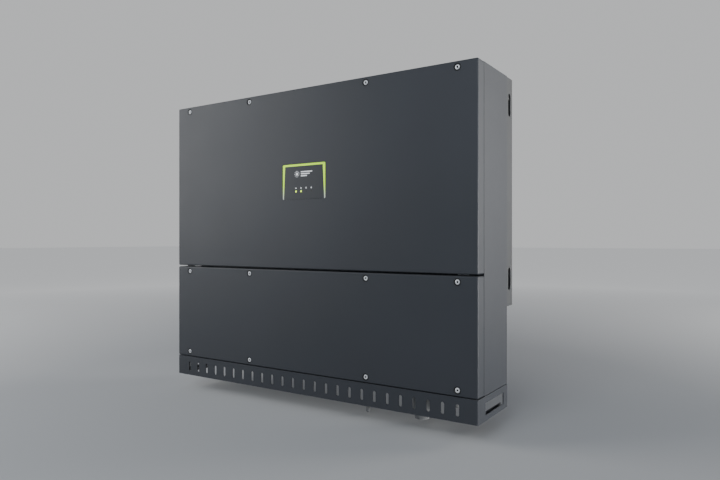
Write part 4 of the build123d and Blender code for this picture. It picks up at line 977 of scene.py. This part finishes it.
def heatSink():
    low, high, middle = boxOf("heat_sink")
    form = bmesh.new()
    rootY, tipY = low.y + sink["base"] - sink["sunk"], high.y
    outline = []
    for step in range(sink["beads"] * 2 + 1):
        share = step / (sink["beads"] * 2)
        half = (sink["root"] + (sink["tip"] - sink["root"]) * share) / 2
        half += sink["beadDepth"] if step % 2 else 0
        outline.append((half, rootY + (tipY - rootY) * share))
    section = outline + [(-x, y) for x, y in reversed(outline)]
    lower = [form.verts.new((x, y, low.z)) for x, y in section]
    upper = [form.verts.new((x, y, high.z)) for x, y in section]
    for i in range(len(section)):
        j = (i + 1) % len(section)
        form.faces.new((lower[i], lower[j], upper[j], upper[i]))
    form.faces.new(lower)
    form.faces.new(upper)
    first = middle.x - (sink["count"] - 1) * sink["pitch"] / 2
    points = [(first + i * sink["pitch"], 0, 0) for i in range(sink["count"])]
    fins = repeated("sink_fins", form, points, "sinkAluminium", turn=0.0)
    plate = bmesh.new()
    block(plate, (low.x, low.y, low.z), (high.x, low.y + sink["base"], high.z), sink["bevel"])
    base = addPiece("sink_base", toMesh("sink_base", plate))
    settle(fins, "case", replaced=["heat_sink"])
    settle(base, "case", "sinkAluminium", ["heat_sink"])


heatSink()
print("stage: heat sink")

# Cable entries: ribbed clamping nuts with a rubber throat, and sockets with a pin in each.
gland = {
    "ribs": 24, "acRib": 1.0 * mm, "dataRib": 0.8 * mm, "acBore": 14 * mm, "dataBore": 6.5 * mm,
    "dataPitch": 36 * mm, "dataCount": 3, "turn": 0.6, "seed": 2,
}


def nutForm(radius, bore, tall, depth):
    form = bmesh.new()
    turned(form, [
        (bore, 0, 0), (radius * 0.97, 0, 0), (radius, -0.5 * mm, 0), (radius, -2.0 * mm, 0),
        (radius, -2.6 * mm, -1), (radius, -tall * 0.62, -1),
        (radius * 0.985, -tall * 0.66, 0), (radius * 0.95, -tall * 0.76, 0),
        (radius * 0.87, -tall * 0.88, 0), (radius * 0.76, -tall * 0.97, 0),
        (max(radius * 0.68, bore * 1.12), -tall, 0), (bore * 1.04, -tall, 0), (bore, -tall * 0.97, 0),
        (bore, 0, 0),
    ], around=144, ribs=gland["ribs"], ribDepth=depth)
    return form


def throatForm(bore, tall):
    form = bmesh.new()
    turned(form, [
        (bore * 0.52, -tall * 0.25, 0), (bore * 0.995, -tall * 0.25, 0), (bore * 0.995, -tall * 0.93, 0),
        (bore * 0.85, -tall * 0.96, 0), (bore * 0.60, -tall * 0.90, 0),
        (bore * 0.52, -tall * 0.80, 0), (bore * 0.52, -tall * 0.25, 0),
    ], around=48)
    return form


def glandPieces(name, node, count, bore, depth):
    low, high, middle = boxOf(node)
    radius, tall = (high.x - low.x) / 2, high.z - low.z
    offsets = [(i - (count - 1) / 2) * gland["dataPitch"] for i in range(count)]
    points = [(middle.x, middle.y + offset, high.z) for offset in offsets]
    nut, throat = nutForm(radius, bore, tall, depth), throatForm(bore, tall)
    nuts = repeated(name + "_ribbed_nut", nut, points, "greyNylon", (0, 0, 1), gland["turn"], gland["seed"])
    throats = repeated(name + "_throat", throat, points, "foamRubber", (0, 0, 1), 0.0)
    settle(nuts, "case", replaced=[node])
    settle(throats, "case", replaced=[node])


glandPieces("ac_gland", "ac_gland_nut", 1, gland["acBore"], gland["acRib"])
glandPieces("data_gland", "data_gland_nuts", gland["dataCount"], gland["dataBore"], gland["dataRib"])

socket = {
    "count": 12, "pitch": 28 * mm, "rows": 38 * mm, "barrel": 8 * mm, "bore": 5.6 * mm,
    "boreDeep": 17 * mm, "pin": 2 * mm, "hex": 10.5 * mm, "stem": 6 * mm,
    "hexTall": 6 * mm, "stemTall": 17 * mm, "barrelTall": 29 * mm,
}


def socketForms():
    body, pin = bmesh.new(), bmesh.new()
    barrel, bore, foot = socket["barrel"], socket["bore"], -socket["barrelTall"]
    stem, stemTop, corner, hexFoot = socket["stem"], socket["stemTall"], socket["hex"], -socket["hexTall"]
    inside, width = foot + socket["boreDeep"], socket["pin"]
    turned(body, [
        (0, stemTop, 0), (stem * 0.9, stemTop, 0), (stem, stemTop - 0.8 * mm, 0), (stem, 0, 0),
        (corner, 0, 6), (corner, hexFoot + 0.6 * mm, 6), (corner * 0.94, hexFoot, 6), (barrel, hexFoot, 0),
        (barrel, -12 * mm, 0), (barrel * 0.9, -12.6 * mm, 0), (barrel * 0.9, -15 * mm, 0),
        (barrel, -15.6 * mm, 0), (barrel, -23 * mm, 0),
        (barrel * 0.93, -23.4 * mm, 0), (barrel * 0.93, foot + 0.5 * mm, 0), (barrel * 0.89, foot, 0),
        (bore * 1.08, foot, 0), (bore, foot + 0.6 * mm, 0), (bore, inside, 0), (0, inside, 0),
    ], around=36)
    turned(pin, [
        (0, inside, 0), (width, inside, 0), (width, foot + 2.5 * mm, 0),
        (width * 0.6, foot + 1.5 * mm, 0), (0, foot + 1.3 * mm, 0),
    ], around=16)
    return body, pin


socketMiddle = boxOf("dc_sockets")[2]
socketTop = boxOf("gland_plate")[0].z
socketX = [socketMiddle.x + (i - (socket["count"] - 1) / 2) * socket["pitch"] for i in range(socket["count"])]
socketY = [socketMiddle.y + side * socket["rows"] / 2 for side in (-1, 1)]
socketPoints = [(x, y, socketTop) for x in socketX for y in socketY]
socketBody, socketPin = socketForms()
for name, form, finish, slotName in (
    ("string_socket_barrels", socketBody, "blackNylon", "black_plastic"),
    ("string_socket_pins", socketPin, "tinnedPin", "stainless"),
):
    sockets = repeated(name, form, socketPoints, finish, (0, 0, 1), 0.0)
    settle(sockets, "case", replaced=["dc_sockets"])
print("stage: cable entries")

# Switch knobs: a pale pointer let into the end of each grip.
pointer = {
    "start": 3 * mm, "long": 15 * mm, "wide": 2.2 * mm, "proud": 0.12 * mm, "sunk": 0.4 * mm,
    "bevel": 0.15 * mm,
}
for number in (1, 2):
    low, _, middle = boxOf(f"dc_switch_knob_{number}")
    form = bmesh.new()
    near, far = middle.x + pointer["start"], middle.x + pointer["start"] + pointer["long"]
    half = pointer["wide"] / 2
    block(
        form, (near, middle.y - half, low.z - pointer["proud"]),
        (far, middle.y + half, low.z + pointer["sunk"]), pointer["bevel"]
    )
    mark = addPiece(f"switch_pointer_{number}", toMesh(f"switch_pointer_{number}", form))
    # The pointer takes the white print finish, whose faint glow is painted light.
    settle(mark, f"dc_switch_{number}", "whitePrint")

# Components on the boards, scattered by size and kind: finish, density, spacing, smallest, largest, seed.
# A board stands behind its spacers and plugs by its own rise.
boards = {
    "power_board": {
        "keep": 4 * mm, "rise": 0,
        "kinds": (
            ("capacitorCase", 900, 0.030, (3, 2, 3), (7, 5, 9), 5),
            ("epoxyCase", 2200, 0.016, (3, 1, 2), (9, 2.4, 6), 8)
        )
    },
    "control_board": {
        "keep": 5 * mm, "rise": 5 * mm,
        "kinds": (
            ("epoxyCase", 5000, 0.011, (2.5, 0.8, 2.5), (9, 2.2, 9), 3),
            ("tinnedPin", 8000, 0.008, (1.0, 0.5, 1.5), (2.2, 1.0, 3.4), 11)
        )
    },
    "communication_board": {
        "keep": 5 * mm, "rise": 13 * mm,
        "kinds": (
            ("epoxyCase", 5000, 0.011, (2.5, 0.8, 2.5), (8, 2.0, 8), 6),
            ("tinnedPin", 8000, 0.008, (1.0, 0.5, 1.5), (2.2, 1.0, 3.4), 9)
        )
    },
}
for node, setting in boards.items():
    low, high, _ = boxOf(node)
    keep, face = setting["keep"], low.y + setting["rise"]
    corners = [
        (low.x + keep, face, low.z + keep), (high.x - keep, face, low.z + keep),
        (high.x - keep, face, high.z - keep), (low.x + keep, face, high.z - keep)
    ]
    for kind, (finish, density, spacing, smallest, largest, seed) in enumerate(setting["kinds"]):
        base = bpy.data.meshes.new("boardArea")
        base.from_pydata(corners, [], [(0, 1, 2, 3)])
        parts = runNodes(f"{node}_parts_{kind + 1}", trees["board"], base, {
            "Density": float(density), "Spacing": spacing, "Smallest": [v * mm for v in smallest],
            "Largest": [v * mm for v in largest], "Seed": seed, "Finish": finishes[finish],
        })
        settle(parts, "case")
print("stage: board parts")

scene.view_layers[0].update()
